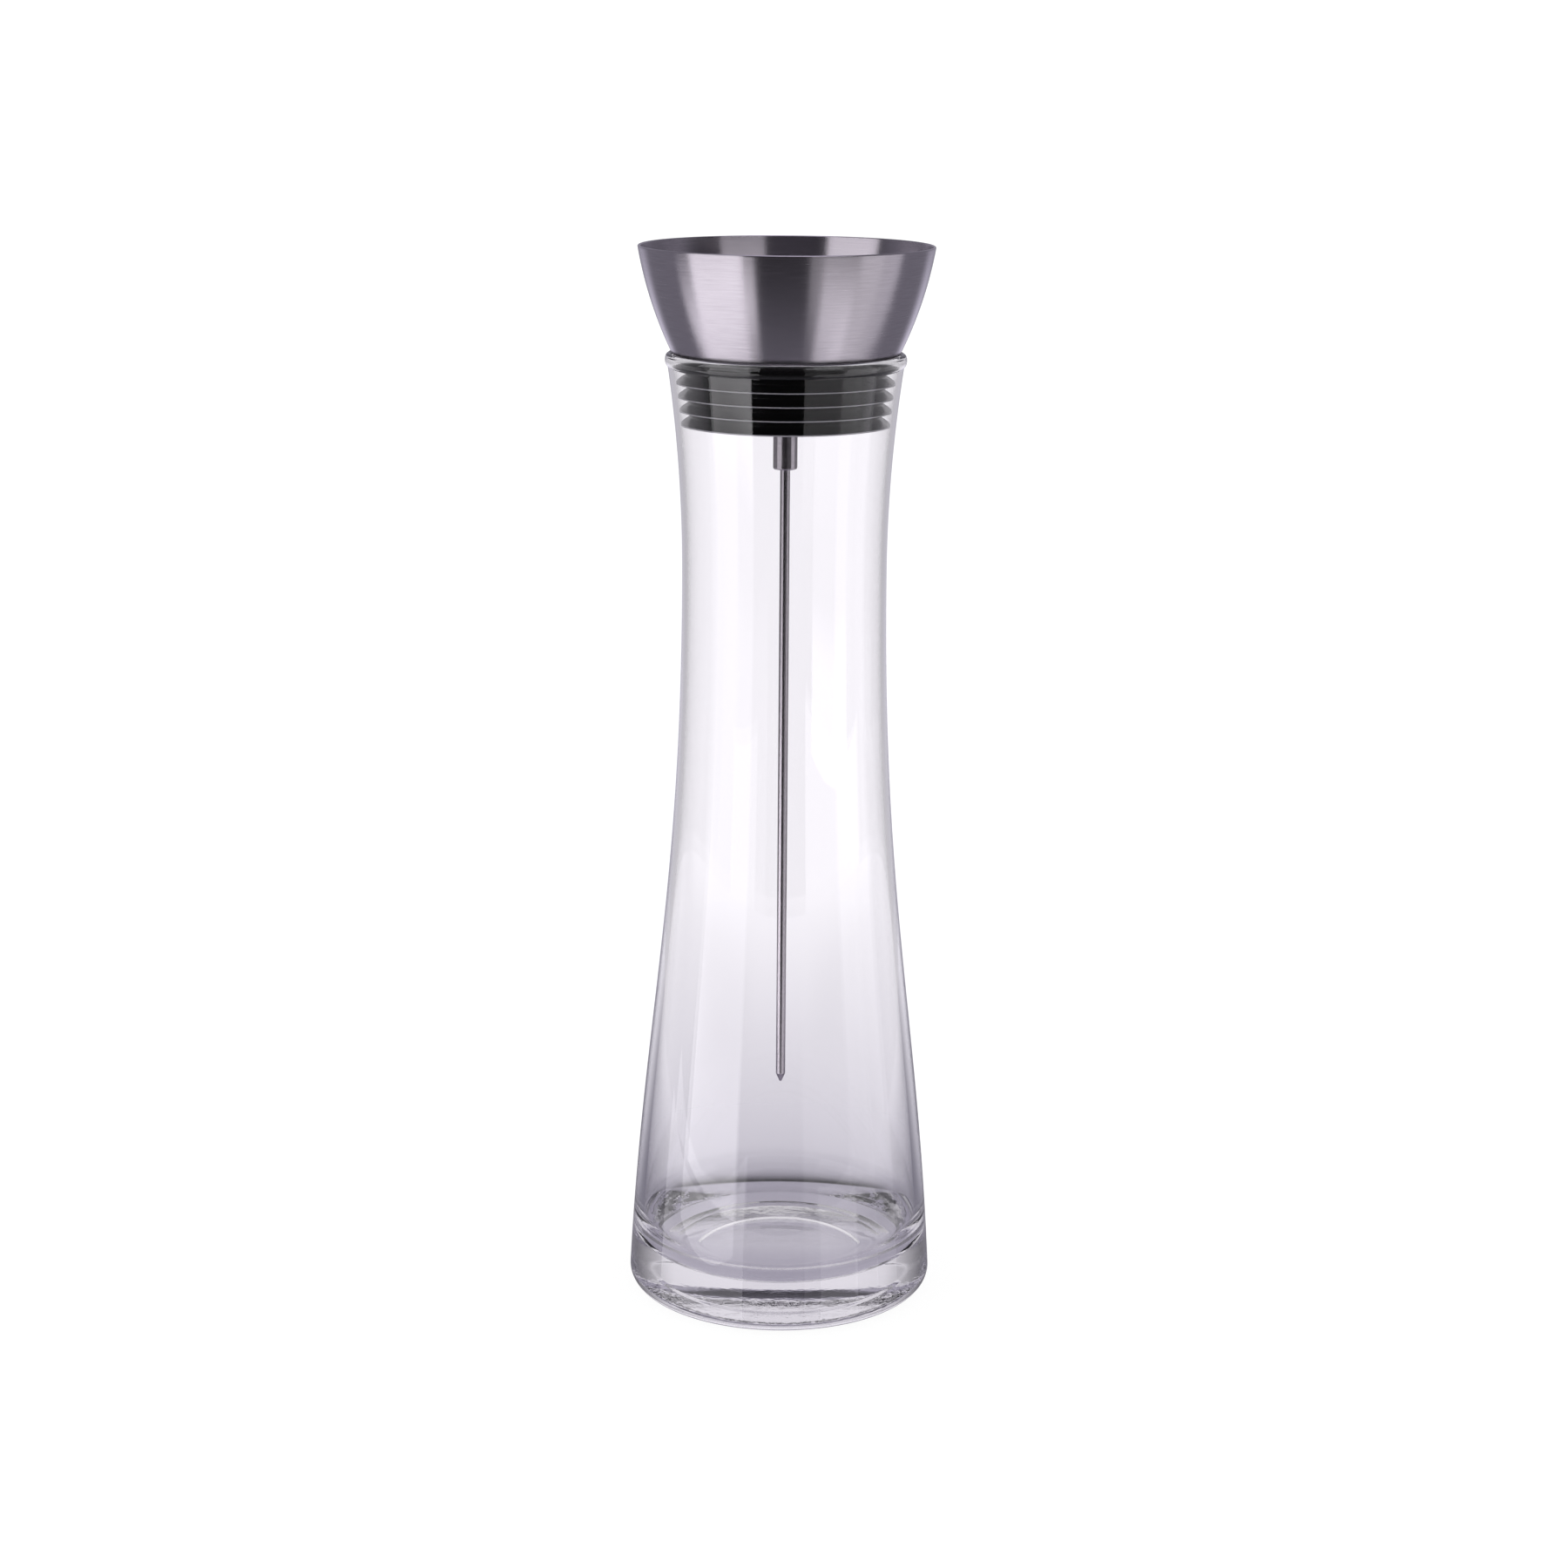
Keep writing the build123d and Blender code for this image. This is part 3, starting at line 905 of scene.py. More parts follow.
@dataclass
class Stopper:
    """The funnel, the lipped sleeve that plugs the neck, and the plastic pieces inside it."""

    glass: GlassBody
    seat_drop: float = 0.7
    seal_gap: float = 0.2
    seal_depth: float = 20.5
    lip_count: int = 4
    lip_crowding: float = 0.3
    lip_depth: float = 3.5
    lip_tip: float = 0.26
    lip_tip_round: float = 0.1
    lip_rise: float = 0.12
    lip_top_run: float = 2.0
    lip_top_round: float = 0.4
    lip_under_run: float = 1.1
    lip_under_round: float = 0.5
    # Painted highlight at the lips' tips: spacing of the points that keep its edge sharp, its reach and its
    # fade
    highlight_run: float = 0.08
    highlight_reach: float = 0.12
    highlight_fade: float = 0.06
    collar_height: float = 2.8
    collar_run: float = 2.3
    collar_round: float = 0.3
    collar_under_round: float = 0.6
    seal_wall: float = 2.7
    seal_inner_round: float = 0.05
    seal_foot_round: float = 0.2
    core_wall: float = 2.0
    flange_width: float = 4.0
    flange_thickness: float = 1.6
    core_foot_width: float = 1.4
    core_foot_thickness: float = 1.4
    core_recess: float = 0.2
    funnel_height: float = 32.7
    funnel_rim_radius: float = 44.7
    funnel_foot_gap: float = 0.4
    funnel_bulge: float = 1.25
    sheet: float = 0.8
    bend: float = 1.2
    curve_points: int = 300
    bend_points: int = 14
    inner_bend_points: int = 10
    wall_points: int = 70
    lip_points: int = 16
    segments: int = 200

    @property
    def seat(self) -> float:
        """Height of the funnel's foot and the top of the collar."""
        return self.glass.height - self.seat_drop

    @property
    def bottom(self) -> float:
        """Height of the lowest lip's underside."""
        return self.seat - self.seal_depth

    @property
    def collar_bottom(self) -> float:
        """Height of the collar's lower edge."""
        return self.seat - self.collar_height

    @property
    def collar_root(self) -> float:
        """Height at which the slope under the collar ends."""
        return self.collar_bottom - self.collar_run

    @property
    def core_radius(self) -> float:
        """Outer radius of the plastic core's wall."""
        return self.glass.bore(self.bottom) - self.lip_depth - self.seal_wall

    def seal_profile(self) -> np.ndarray:
        """Section of the sleeve: wedge lips, a collar above and the core's shape inside, all rounded.

        Returns:
            Points round the section.
        """
        bore = self.glass.bore
        pitch = (self.collar_root - self.bottom) / (self.lip_count - self.lip_crowding)
        corners = []
        for lip in range(self.lip_count):
            tip = self.bottom + lip * pitch
            reach, root = bore(tip) - self.seal_gap, bore(tip) - self.lip_depth
            if lip:
                corners.append((root, tip - self.lip_under_run, self.lip_under_round))
            edge = tip + self.lip_rise
            edge_top = edge + self.lip_tip
            corners.append((reach, edge if lip else tip, self.lip_tip_round))
            corners.append((reach, edge_top, self.lip_tip_round))
            corners.append((root, edge_top + self.lip_top_run, self.lip_top_round))
        collar = bore(self.collar_bottom) - self.seal_gap
        flange = self.core_radius + self.flange_width
        foot = self.core_radius + self.core_foot_width
        foot_top = self.bottom + self.core_recess + self.core_foot_thickness
        flange_bottom = self.seat - self.flange_thickness
        corners += [
            (bore(self.collar_root) - self.lip_depth, self.collar_root, self.collar_round),
            (collar, self.collar_bottom, self.collar_under_round),
            (collar, self.seat, self.collar_round),
            (flange, self.seat, self.seal_inner_round),
            (flange, flange_bottom, self.seal_inner_round),
            (self.core_radius, flange_bottom, self.seal_inner_round),
            (self.core_radius, foot_top, self.seal_inner_round),
            (foot, foot_top, self.seal_inner_round),
            (foot, self.bottom, self.seal_foot_round),
        ]
        return edged(rounded(corners), self.highlight_run)

    def lip_highlight(self, profile: np.ndarray) -> np.ndarray:
        """How far the painted highlight covers each point of the section: fully at the lips' tips, else not.

        Args:
            profile: Points of the section.

        Returns:
            A share from 0 to 1 for each point.
        """
        gap = self.glass.bore(profile[:, 1]) - profile[:, 0]
        near = np.clip((self.seal_gap + self.highlight_reach - gap) / self.highlight_fade, 0.0, 1.0)
        return np.where(profile[:, 1] < self.collar_root, near, 0.0)

    def funnel_profile(self) -> np.ndarray:
        """Section of the funnel: a flat floor bent up into a wall that is an arc, with a half-round lip.

        Returns:
            Points round the section.
        """
        foot = self.glass.bore(self.seat) - self.funnel_foot_gap
        top, floor_top = self.seat + self.funnel_height, self.seat + self.sheet
        slope = (self.funnel_rim_radius - foot) / self.funnel_height
        run = self.sheet * np.hypot(1.0, slope)
        lip = run / 2
        rim = self.funnel_rim_radius
        outer = bulged((foot, self.seat), (rim, top), self.funnel_bulge, self.curve_points)
        inner = bulged((foot - run, floor_top), (rim - run, top), self.funnel_bulge, self.curve_points)
        outer = off_floor(outer, self.seat, self.bend, self.bend_points)
        inner = off_floor(inner, floor_top, self.bend - self.sheet, self.inner_bend_points)
        outer = outer[outer[:, 1] < top - lip]
        inner = inner[inner[:, 1] < top - lip]
        middle = (outer[-1] + inner[-1]) / 2
        reach = np.hypot(*(outer[-1] - inner[-1])) / 2
        angles = np.linspace(0.0, np.pi, self.lip_points)[1:-1]
        edge = middle + reach * np.stack([np.cos(angles), np.sin(angles)], axis=1)
        hole = self.core_radius - self.core_wall
        bend_end, inner_bend_end = self.bend_points - 1, self.inner_bend_points - 1
        return np.concatenate(
            [
                np.array([[hole, self.seat]]),
                outer[: bend_end + 1],
                evenly(outer[bend_end:], self.wall_points)[1:],
                edge,
                evenly(inner[inner_bend_end:], self.wall_points)[:0:-1],
                inner[inner_bend_end::-1],
                np.array([[hole, floor_top]]),
            ]
        )

    def build(self, nodes: Mapping[str, bpy.types.Object]) -> None:
        """Builds the funnel and the sleeve, and dresses the CAD pieces inside them.

        Args:
            nodes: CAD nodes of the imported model.
        """
        funnel = turned(self.funnel_profile(), self.segments)
        place_piece("spun_funnel", [funnel], FUNNEL_STEEL, Body.STOPPER, "pour_funnel")
        section = self.seal_profile()
        seal = turned(section, self.segments)
        # The lips' tips get a painted highlight, a pale line where they meet the glass
        seal.painted_highlight = np.repeat(self.lip_highlight(section), self.segments)
        place_piece("lipped_sleeve", [seal], SILICONE, Body.STOPPER, "stopper_seal")
        dressing = {
            PLASTIC: ("stopper_core", "flap_seat"),
            SILICONE: ("seat_o_ring", "screw_seal_washer", "flap_gasket"),
            FITTING_STEEL: ("hinge_pin",),
            NYLON: ("ferrule_washer",),
        }
        for finish, names in dressing.items():
            for name in names:
                finish.dress(nodes[name])
                LOG.info("%s keeps its solid, in %s", name, finish.name)


@dataclass
class PouringFlap:
    """The steel flap over the throat, with its rolled barrel and its rivet."""

    radius: float = 13.885
    bottom: float = 302.3
    thickness: float = 1.0
    under_round: float = 0.3
    top_round: float = 0.4
    hinge_y: float = 16.085
    barrel_radius: float = 1.6
    barrel_bore: float = 0.85
    barrel_length: float = 10.0
    barrel_round: float = 0.25
    barrel_bore_round: float = 0.1
    tab_width: float = 9.0
    tab_start: float = 11.0
    tab_round: float = 0.2
    rivet_radius: float = 1.5
    rivet_round: float = 0.02
    rivet_head_radius: float = 2.8
    rivet_head_height: float = 0.7
    rivet_foot_radius: float = 4.0
    rivet_foot_height: float = 0.8
    rivet_foot_round: float = 0.2
    rivet_foot_top_round: float = 0.05
    gasket_thickness: float = 1.0
    dome_points: int = 14
    segments: int = 128
    barrel_segments: int = 48
    rivet_segments: int = 64

    @property
    def top(self) -> float:
        """Height of the flap's upper face."""
        return self.bottom + self.thickness

    def tab(self) -> Shell:
        """The strip from the disc to the barrel: a rounded rectangle carried along Y.

        Returns:
            The closed shell.
        """
        half, low, high = self.tab_width / 2, self.bottom, self.top
        outline = ((-half, low), (half, low), (half, high), (-half, high))
        section = rounded([(*corner, self.tab_round) for corner in outline])
        slopes = profile_normals(section, True)
        along = np.array([self.hinge_y, self.tab_start])
        count = len(section)
        points = np.empty((2, count, 3))
        points[:, :, 0], points[:, :, 2] = section[:, 0], section[:, 1]
        points[:, :, 1] = along[:, None]
        normals = np.zeros((2, count, 3))
        normals[:, :, 0], normals[:, :, 2] = slopes[:, 0], slopes[:, 1]
        index = np.arange(2 * count).reshape(2, count)
        beside = np.roll(index, -1, axis=1)
        quads = np.stack([index[0], beside[0], beside[1], index[1]], axis=1)
        centres = np.array([[0.0, y, (low + high) / 2] for y in along])
        caps = [
            np.stack([np.full(count, 2 * count), beside[0], index[0]], axis=1),
            np.stack([np.full(count, 2 * count + 1), index[1], beside[1]], axis=1),
        ]
        ends = np.array([[0.0, 1.0, 0.0], [0.0, -1.0, 0.0]])
        return Shell(
            np.concatenate([points.reshape(-1, 3), centres]),
            np.concatenate([normals.reshape(-1, 3), ends]),
            quads,
            np.concatenate(caps),
        )

    def plate(self) -> list[Shell]:
        """The flap's disc, its tab and the barrel that its pin runs in.

        Returns:
            Three closed shells.
        """
        disc = rounded(
            (
                (0.0, self.bottom, 0.0),
                (self.radius, self.bottom, self.under_round),
                (self.radius, self.top, self.top_round),
                (0.0, self.top, 0.0),
            )
        )
        half = self.barrel_length / 2
        barrel = rounded(
            (
                (self.barrel_bore, -half, self.barrel_bore_round),
                (self.barrel_radius, -half, self.barrel_round),
                (self.barrel_radius, half, self.barrel_round),
                (self.barrel_bore, half, self.barrel_bore_round),
            )
        )
        lying = turned(barrel, self.barrel_segments).lying_along_x()
        hinge = (0.0, self.hinge_y, self.bottom + self.thickness / 2)
        return [turned(disc, self.segments), self.tab(), lying.moved(hinge)]

    def rivet(self) -> Shell:
        """The rivet: a flat foot under the gasket, a shank, and a head that is the cap of a sphere.

        Returns:
            The closed shell.
        """
        gasket_bottom = self.bottom - self.gasket_thickness
        foot_bottom = gasket_bottom - self.rivet_foot_height
        dome_top = self.top + self.rivet_head_height
        shank = rounded(
            (
                (0.0, foot_bottom, 0.0),
                (self.rivet_foot_radius, foot_bottom, self.rivet_foot_round),
                (self.rivet_foot_radius, gasket_bottom, self.rivet_foot_top_round),
                (self.rivet_radius, gasket_bottom, self.rivet_round),
                (self.rivet_radius, self.top, self.rivet_round),
                (self.rivet_head_radius, self.top, 0.0),
                (0.0, dome_top, 0.0),
            )
        )[:-1]
        curve = (self.rivet_head_radius**2 + self.rivet_head_height**2) / (2 * self.rivet_head_height)
        across = np.linspace(self.rivet_head_radius, 0.0, self.dome_points)[1:]
        dome = np.stack([across, dome_top - curve + np.sqrt(curve**2 - across**2)], axis=1)
        return turned(np.concatenate([shank, dome]), self.rivet_segments)

    def build(self) -> None:
        """Builds the flap with its barrel, and the rivet."""
        place_piece("steel_flap", self.plate(), FUNNEL_STEEL, Body.FLAP, "flap_plate")
        place_piece("domed_rivet", [self.rivet()], FITTING_STEEL, Body.FLAP, "flap_rivet")


@dataclass
class Skewer:
    """The fruit skewer: a ferrule that screws on under the stopper, and the long rod it holds."""

    ferrule_bottom: float = 262.9
    ferrule_top: float = 276.3
    ferrule_radius: float = 3.7
    ferrule_bevel: float = 0.4
    ferrule_bevel_round: float = 0.15
    ferrule_round: float = 0.2
    socket_round: float = 0.05
    bore_round: float = 0.1
    rod_radius: float = 1.5
    rod_top: float = 267.3
    rod_tip: float = 66.3
    point_length: float = 2.6
    point_radius: float = 0.35
    point_round: float = 0.2
    shoulder_round: float = 0.8
    screw_bore: float = 2.05
    screw_bore_bottom: float = 268.7
    screw_radius: float = 2.0
    screw_tip: float = 269.3
    screw_tip_bevel: float = 0.5
    screw_tip_hole: float = 0.1
    screw_seat: float = 283.6
    screw_head_radius: float = 4.0
    screw_head_height: float = 2.6
    screw_head_round: float = 0.7
    screw_head_under_round: float = 0.1
    screw_cap_hole: float = 0.02
    screw_slot_width: float = 1.0
    screw_slot_depth: float = 1.2
    screw_slot_slope: float = 0.08
    screw_slot_reach: float = 0.75
    thread_pitch: float = 0.7
    thread_depth: float = 0.38
    thread_end: float = 277.0
    shank_points: int = 330
    cap_points: int = 60
    tip_points: int = 6
    screw_segments: int = 96
    ferrule_segments: int = 96
    rod_segments: int = 64

    def screw_blank(self, head_top: float) -> np.ndarray:
        """Section of the screw before its thread and slot are cut, from its tip to the top of its head.

        Args:
            head_top: Height of the top of the head.

        Returns:
            Array of shape (n, 2).
        """
        tip_out = np.linspace(self.screw_tip_hole, self.screw_radius, self.tip_points)[:-1]
        tip = np.stack([tip_out, np.full(len(tip_out), self.screw_tip)], axis=1)
        shank_up = np.linspace(self.screw_tip, self.screw_seat, self.shank_points)
        shank = np.stack([np.full(len(shank_up), self.screw_radius), shank_up], axis=1)
        head = rounded(
            (
                (self.screw_radius, self.screw_seat, 0.0),
                (self.screw_head_radius, self.screw_seat, self.screw_head_under_round),
                (self.screw_head_radius, head_top, self.screw_head_round),
                (0.0, head_top, 0.0),
            )
        )[1:-1]
        inwards = np.linspace(head[-1, 0], self.screw_cap_hole, self.cap_points)[1:]
        cap = np.stack([inwards, np.full(len(inwards), head_top)], axis=1)
        return np.concatenate([tip, shank, head, cap])

    def screw(self) -> Shell:
        """The screw: a turned blank, its shank cut by a helix and its head by a slot.

        The thread lowers the radius by thread depth times a triangle wave of (height over pitch less turns
        round the axis). The slot lowers the top of the head where |y| is under half the slot's width.

        Returns:
            The closed shell.
        """
        head_top = self.screw_seat + self.screw_head_height
        blank = self.screw_blank(head_top)
        angles = np.linspace(0.0, 2 * np.pi, self.screw_segments, endpoint=False)
        radius = np.repeat(blank[:, :1], self.screw_segments, axis=1)
        height = np.repeat(blank[:, 1:], self.screw_segments, axis=1)
        on_shank = np.abs(radius - self.screw_radius) < SAME_POINT
        phase = (height / self.thread_pitch - angles[None, :] / (2 * np.pi)) % 1.0
        groove = 1.0 - np.abs(2.0 * phase - 1.0)
        run_in = np.clip((height - self.screw_tip) / self.thread_pitch, 0.0, 1.0)
        run_out = np.clip((self.thread_end - height) / self.thread_pitch, 0.0, 1.0)
        bevel = self.screw_tip_bevel * (1.0 - run_in)
        radius = radius - np.where(on_shank, self.thread_depth * groove * run_out + bevel, 0.0)
        x, y = radius * np.cos(angles), radius * np.sin(angles)
        slot_edge = (self.screw_slot_width + self.screw_slot_slope) / 2
        cut = np.clip((slot_edge - np.abs(y)) / self.screw_slot_slope, 0.0, 1.0)
        in_reach = height > head_top - self.screw_slot_reach
        height = height - np.where(in_reach, self.screw_slot_depth * cut, 0.0)
        points = np.stack([x, y, height], axis=2)
        along = np.gradient(points, axis=0)
        around = np.roll(points, -1, axis=1) - np.roll(points, 1, axis=1)
        normals = np.cross(around, along)
        normals /= np.maximum(np.linalg.norm(normals, axis=2), LEAST_LENGTH)[:, :, None]
        ends = np.array([self.screw_tip, height[-1].mean()])
        return grid_shell(points, normals, False, ends, np.array([-1.0, 1.0]))

    def ferrule(self) -> Shell:
        """The ferrule: a sleeve with the rod's socket below and the screw's bore above."""
        section = rounded(
            (
                (0.0, self.rod_top, 0.0),
                (self.rod_radius, self.rod_top, self.socket_round),
                (self.rod_radius, self.ferrule_bottom, self.socket_round),
                (self.ferrule_radius - self.ferrule_bevel, self.ferrule_bottom, self.ferrule_bevel_round),
                (self.ferrule_radius, self.ferrule_bottom + self.ferrule_bevel, self.ferrule_round),
                (self.ferrule_radius, self.ferrule_top, self.ferrule_round),
                (self.screw_bore, self.ferrule_top, self.bore_round),
                (self.screw_bore, self.screw_bore_bottom, self.socket_round),
                (0.0, self.screw_bore_bottom, 0.0),
            )
        )
        return turned(section, self.ferrule_segments)

    def rod(self) -> Shell:
        """The rod, with a short point whose shoulder and tip are eased."""
        section = rounded(
            (
                (0.0, self.rod_tip, 0.0),
                (self.point_radius, self.rod_tip, self.point_round),
                (self.rod_radius, self.rod_tip + self.point_length, self.shoulder_round),
                (self.rod_radius, self.rod_top, self.socket_round),
                (0.0, self.rod_top, 0.0),
            )
        )
        return turned(section, self.rod_segments)

    def build(self) -> None:
        """Builds the ferrule, the rod and the screw that carries them."""
        place_piece("ferrule", [self.ferrule()], ROD_STEEL, Body.SKEWER, "skewer_ferrule")
        place_piece("pointed_rod", [self.rod()], ROD_STEEL, Body.SKEWER, "skewer_rod")
        screw = [self.screw()]
        place_piece("threaded_screw", screw, FITTING_STEEL, Body.STOPPER, "skewer_screw")


# Studio


def straight_through(tree: bpy.types.NodeTree, rays: bpy.types.Node) -> bpy.types.Node:
    """Adds nodes that give 1 for light that comes through glass without a bounce, and 0 for any other.

    Args:
        tree: Node tree of a lamp or a world.
        rays: Its light path node.

    Returns:
        The last of the nodes.
    """
    depths = (rays.outputs["Glossy Depth"], rays.outputs["Diffuse Depth"])
    bounces = add_node(tree, "Math", depths, operation="ADD")
    unbounced = add_node(tree, "Math", (bounces, ANY), operation="LESS_THAN")
    transmitted = rays.outputs["Is Transmission Ray"]
    return add_node(tree, "Math", (transmitted, unbounced), operation="MULTIPLY")


@dataclass
class Softbox:
    """A soft lamp that faces the axis of the glass.

    azimuth is degrees from the camera's side, positive to the right, centre_m is its middle's height, and
    radiance is its brightness where a white background is 1. Over its topmost fade_m it falls to top_share
    of that. A lamp that isn't refracted can't be seen through glass.
    """

    name: str
    azimuth: float
    distance_m: float
    width_m: float
    height_m: float
    centre_m: float
    radiance: float
    fade_m: float = 0.1
    top_share: float = 1.0
    refracted: bool = True
    colour: str = "#FDFBFF"

    def build(self) -> None:
        """Adds the lamp, which the camera doesn't see, either by itself or straight through the glass."""
        turn = np.radians(self.azimuth)
        lamp = bpy.data.lights.new(self.name, "AREA")
        lamp.shape = "RECTANGLE"
        lamp.size, lamp.size_y = self.width_m, self.height_m
        lamp.energy = self.radiance * np.pi * self.width_m * self.height_m
        lamp.color = linear(self.colour)[:3]
        lamp.use_nodes = True
        tree = lamp.node_tree
        rays = add_node(tree, "LightPath")
        shown = add_node(tree, "Math", (1.0, straight_through(tree, rays)), operation="SUBTRACT")
        place = add_node(tree, "NewGeometry").outputs["Position"]
        height = add_node(tree, "SeparateXYZ", {"Vector": place}).outputs["Z"]
        top = self.centre_m + self.height_m / 2
        fade = add_node(tree, "MapRange", (height, top - self.fade_m, top, 1.0, self.top_share))
        strength = add_node(tree, "Math", (fade, shown), operation="MULTIPLY")
        tree.links.new(strength.outputs["Value"], tree.nodes["Emission"].inputs["Strength"])
        holder = bpy.data.objects.new(self.name, lamp)
        out, ahead = self.distance_m * np.sin(turn), -self.distance_m * np.cos(turn)
        holder.location = (out, ahead, self.centre_m)
        facing = Vector((-holder.location.x, -holder.location.y, 0.0))
        holder.rotation_euler = facing.to_track_quat("-Z", "Y").to_euler()
        holder.visible_camera = False
        holder.visible_transmission = self.refracted
        bpy.context.scene.collection.objects.link(holder)


@dataclass
class Room:
    """The world: a white screen where it is seen or shows through glass, and a dim room in reflections.

    The spans are of a ray's heading: X to the side, Y to the back and Z up. Levels that start with glass are
    for rays that were mirrored inside the glass wall.
    """

    colour: str = "#F1EDFF"
    soft_level: float = 0.45
    horizon: Span = (-0.31, -0.16)
    side_level: float = 0.42
    flag: Span = (0.6, 1.0)
    flag_end: Span = (0.9, 0.97)
    front_level: float = 0.022
    low_front_level: float = 0.24
    low_front: Span = (-0.9, -0.5)
    flank: Span = (-0.35, 0.2)
    wing_level: float = 0.24
    behind: Span = (0.7, 0.92)
    raised: Span = (-0.4, -0.2)
    back_level: float = 0.36
    edge_level: float = 0.85
    edge: Span = (-0.2, -0.12)
    ceiling_level: float = 1.3
    ceiling: Span = (0.82, 0.95)
    wall_crossings: float = 3.5
    upwards: Span = (0.0, 0.15)
    glass_wing_level: float = 0.8
    glass_wing: Span = (0.5, 0.85)
    glass_side_level: float = 0.18
    glass_neck_level: float = 0.75
    glass_neck: Span = (-0.37, -0.27)
    glass_back_level: float = 0.5
    glass_high_level: float = 0.9
    glass_high: Span = (-0.15, 0.1)

    def screen_level(
        self, tree: bpy.types.NodeTree, sideways: bpy.types.Node, up: bpy.types.NodeSocket
    ) -> bpy.types.Node:
        """The screen that shows straight through the glass, with a grey flag at each side.

        Args:
            tree: The world's nodes.
            sideways: How far a ray heads to either side.
            up: How far it heads up.

        Returns:
            The node that gives the screen's strength.
        """
        climb = add_node(tree, "MapRange", (up, *self.horizon, LOW_SCREEN_LEVEL, SCREEN_LEVEL))
        flag = add_node(tree, "MapRange", (sideways, *self.flag), **SMOOTH)
        past_flag = add_node(tree, "MapRange", (sideways, *self.flag_end, flag, 0.0), **SMOOTH)
        return add_node(tree, "Mix", {FACTOR: past_flag, LEVEL_A: climb, LEVEL_B: self.side_level})

    def room_level(
        self,
        tree: bpy.types.NodeTree,
        rays: bpy.types.Node,
        sideways: bpy.types.Node,
        parts: bpy.types.Node,
    ) -> bpy.types.Node:
        """The room in reflections: dark in front, dim at the sides, paler behind, white overhead.

        Args:
            tree: The world's nodes.
            rays: The light path node.
            sideways: How far a ray heads to either side.
            parts: The parts of its heading.

        Returns:
            The node that gives the room's strength.
        """
        transmitted, away, up = rays.outputs["Is Transmission Ray"], parts.outputs["Y"], parts.outputs["Z"]

        # Light that was mirrored inside the glass wall left through few faces, or upwards
        crossings = (rays.outputs["Transmission Depth"], self.wall_crossings)
        shallow = add_node(tree, "Math", crossings, operation="LESS_THAN")
        upwards = add_node(tree, "MapRange", (up, *self.upwards))
        of_glass = add_node(tree, "Math", (shallow, upwards), operation="MAXIMUM")
        in_wall = add_node(tree, "Math", (transmitted, of_glass), operation="MULTIPLY")

        # To the sides
        neck_levels = (self.glass_side_level, self.glass_neck_level)
        glass_side = add_node(tree, "MapRange", (up, *self.glass_neck, *neck_levels))
        beside_levels = {FACTOR: upwards, LEVEL_A: glass_side, LEVEL_B: self.glass_side_level}
        beside = add_node(tree, "Mix", beside_levels)
        glass_wing = add_node(tree, "MapRange", (sideways, *self.glass_wing, self.glass_wing_level, beside))
        wing = add_node(tree, "Mix", {FACTOR: in_wall, LEVEL_A: self.wing_level, LEVEL_B: glass_wing})

        # Behind
        back_levels = (self.glass_back_level, self.glass_high_level)
        glass_back = add_node(tree, "MapRange", (up, *self.glass_high, *back_levels))
        edge = add_node(tree, "MapRange", (up, *self.edge, self.edge_level, self.back_level))
        outside = add_node(tree, "Mix", {FACTOR: transmitted, LEVEL_A: edge, LEVEL_B: self.back_level})
        back = add_node(tree, "Mix", {FACTOR: in_wall, LEVEL_A: outside, LEVEL_B: glass_back})
        behind = add_node(tree, "MapRange", (away, *self.behind), **SMOOTH)
        raised = add_node(tree, "MapRange", (up, *self.raised), **SMOOTH)
        backdrop = add_node(tree, "Math", (behind, raised), operation="MULTIPLY")

        # In front, and all together
        front = add_node(tree, "MapRange", (up, *self.low_front, self.low_front_level, self.front_level))
        flank = add_node(tree, "MapRange", (away, *self.flank, front, wing), **SMOOTH)
        room = add_node(tree, "Mix", {FACTOR: backdrop, LEVEL_A: flank, LEVEL_B: back})
        ceiling = add_node(tree, "MapRange", (up, *self.ceiling, room, self.ceiling_level))
        return add_node(tree, "Mix", {FACTOR: transmitted, LEVEL_A: ceiling, LEVEL_B: room})

    def build(self) -> None:
        """Paints the world."""
        world = bpy.data.worlds.new("studio")
        bpy.context.scene.world = world
        world.use_nodes = True
        tree = world.node_tree
        tree.nodes.clear()
        rays = add_node(tree, "LightPath")
        heading = add_node(tree, "TexCoord").outputs["Generated"]
        parts = add_node(tree, "SeparateXYZ", {"Vector": heading})
        sideways = add_node(tree, "Math", (parts.outputs["X"],), operation="ABSOLUTE")
        screen = self.screen_level(tree, sideways, parts.outputs["Z"])
        room = self.room_level(tree, rays, sideways, parts)
        mirrored = add_node(tree, "Math", (rays.outputs["Glossy Depth"], ANY), operation="GREATER_THAN")
        soft = add_node(tree, "Mix", {FACTOR: mirrored, LEVEL_A: self.soft_level, LEVEL_B: room})
        through = straight_through(tree, rays)
        indirect = add_node(tree, "Mix", {FACTOR: through, LEVEL_A: soft, LEVEL_B: screen})
        levels = {FACTOR: rays.outputs["Is Camera Ray"], LEVEL_A: indirect, LEVEL_B: SCREEN_LEVEL}
        level = add_node(tree, "Mix", levels)
        cool_colours = {FACTOR: mirrored, COLOUR_A: WHITE, COLOUR_B: linear(self.colour)}
        cool = add_node(tree, "Mix", cool_colours, **COLOURED)
        colours = {FACTOR: rays.outputs["Is Transmission Ray"], COLOUR_A: cool, COLOUR_B: linear(SCREEN)}
        shade = add_node(tree, "Mix", colours, **COLOURED)
        light = add_node(tree, "Background", {"Color": shade, "Strength": level})
        add_node(tree, "OutputWorld", {"Surface": light})


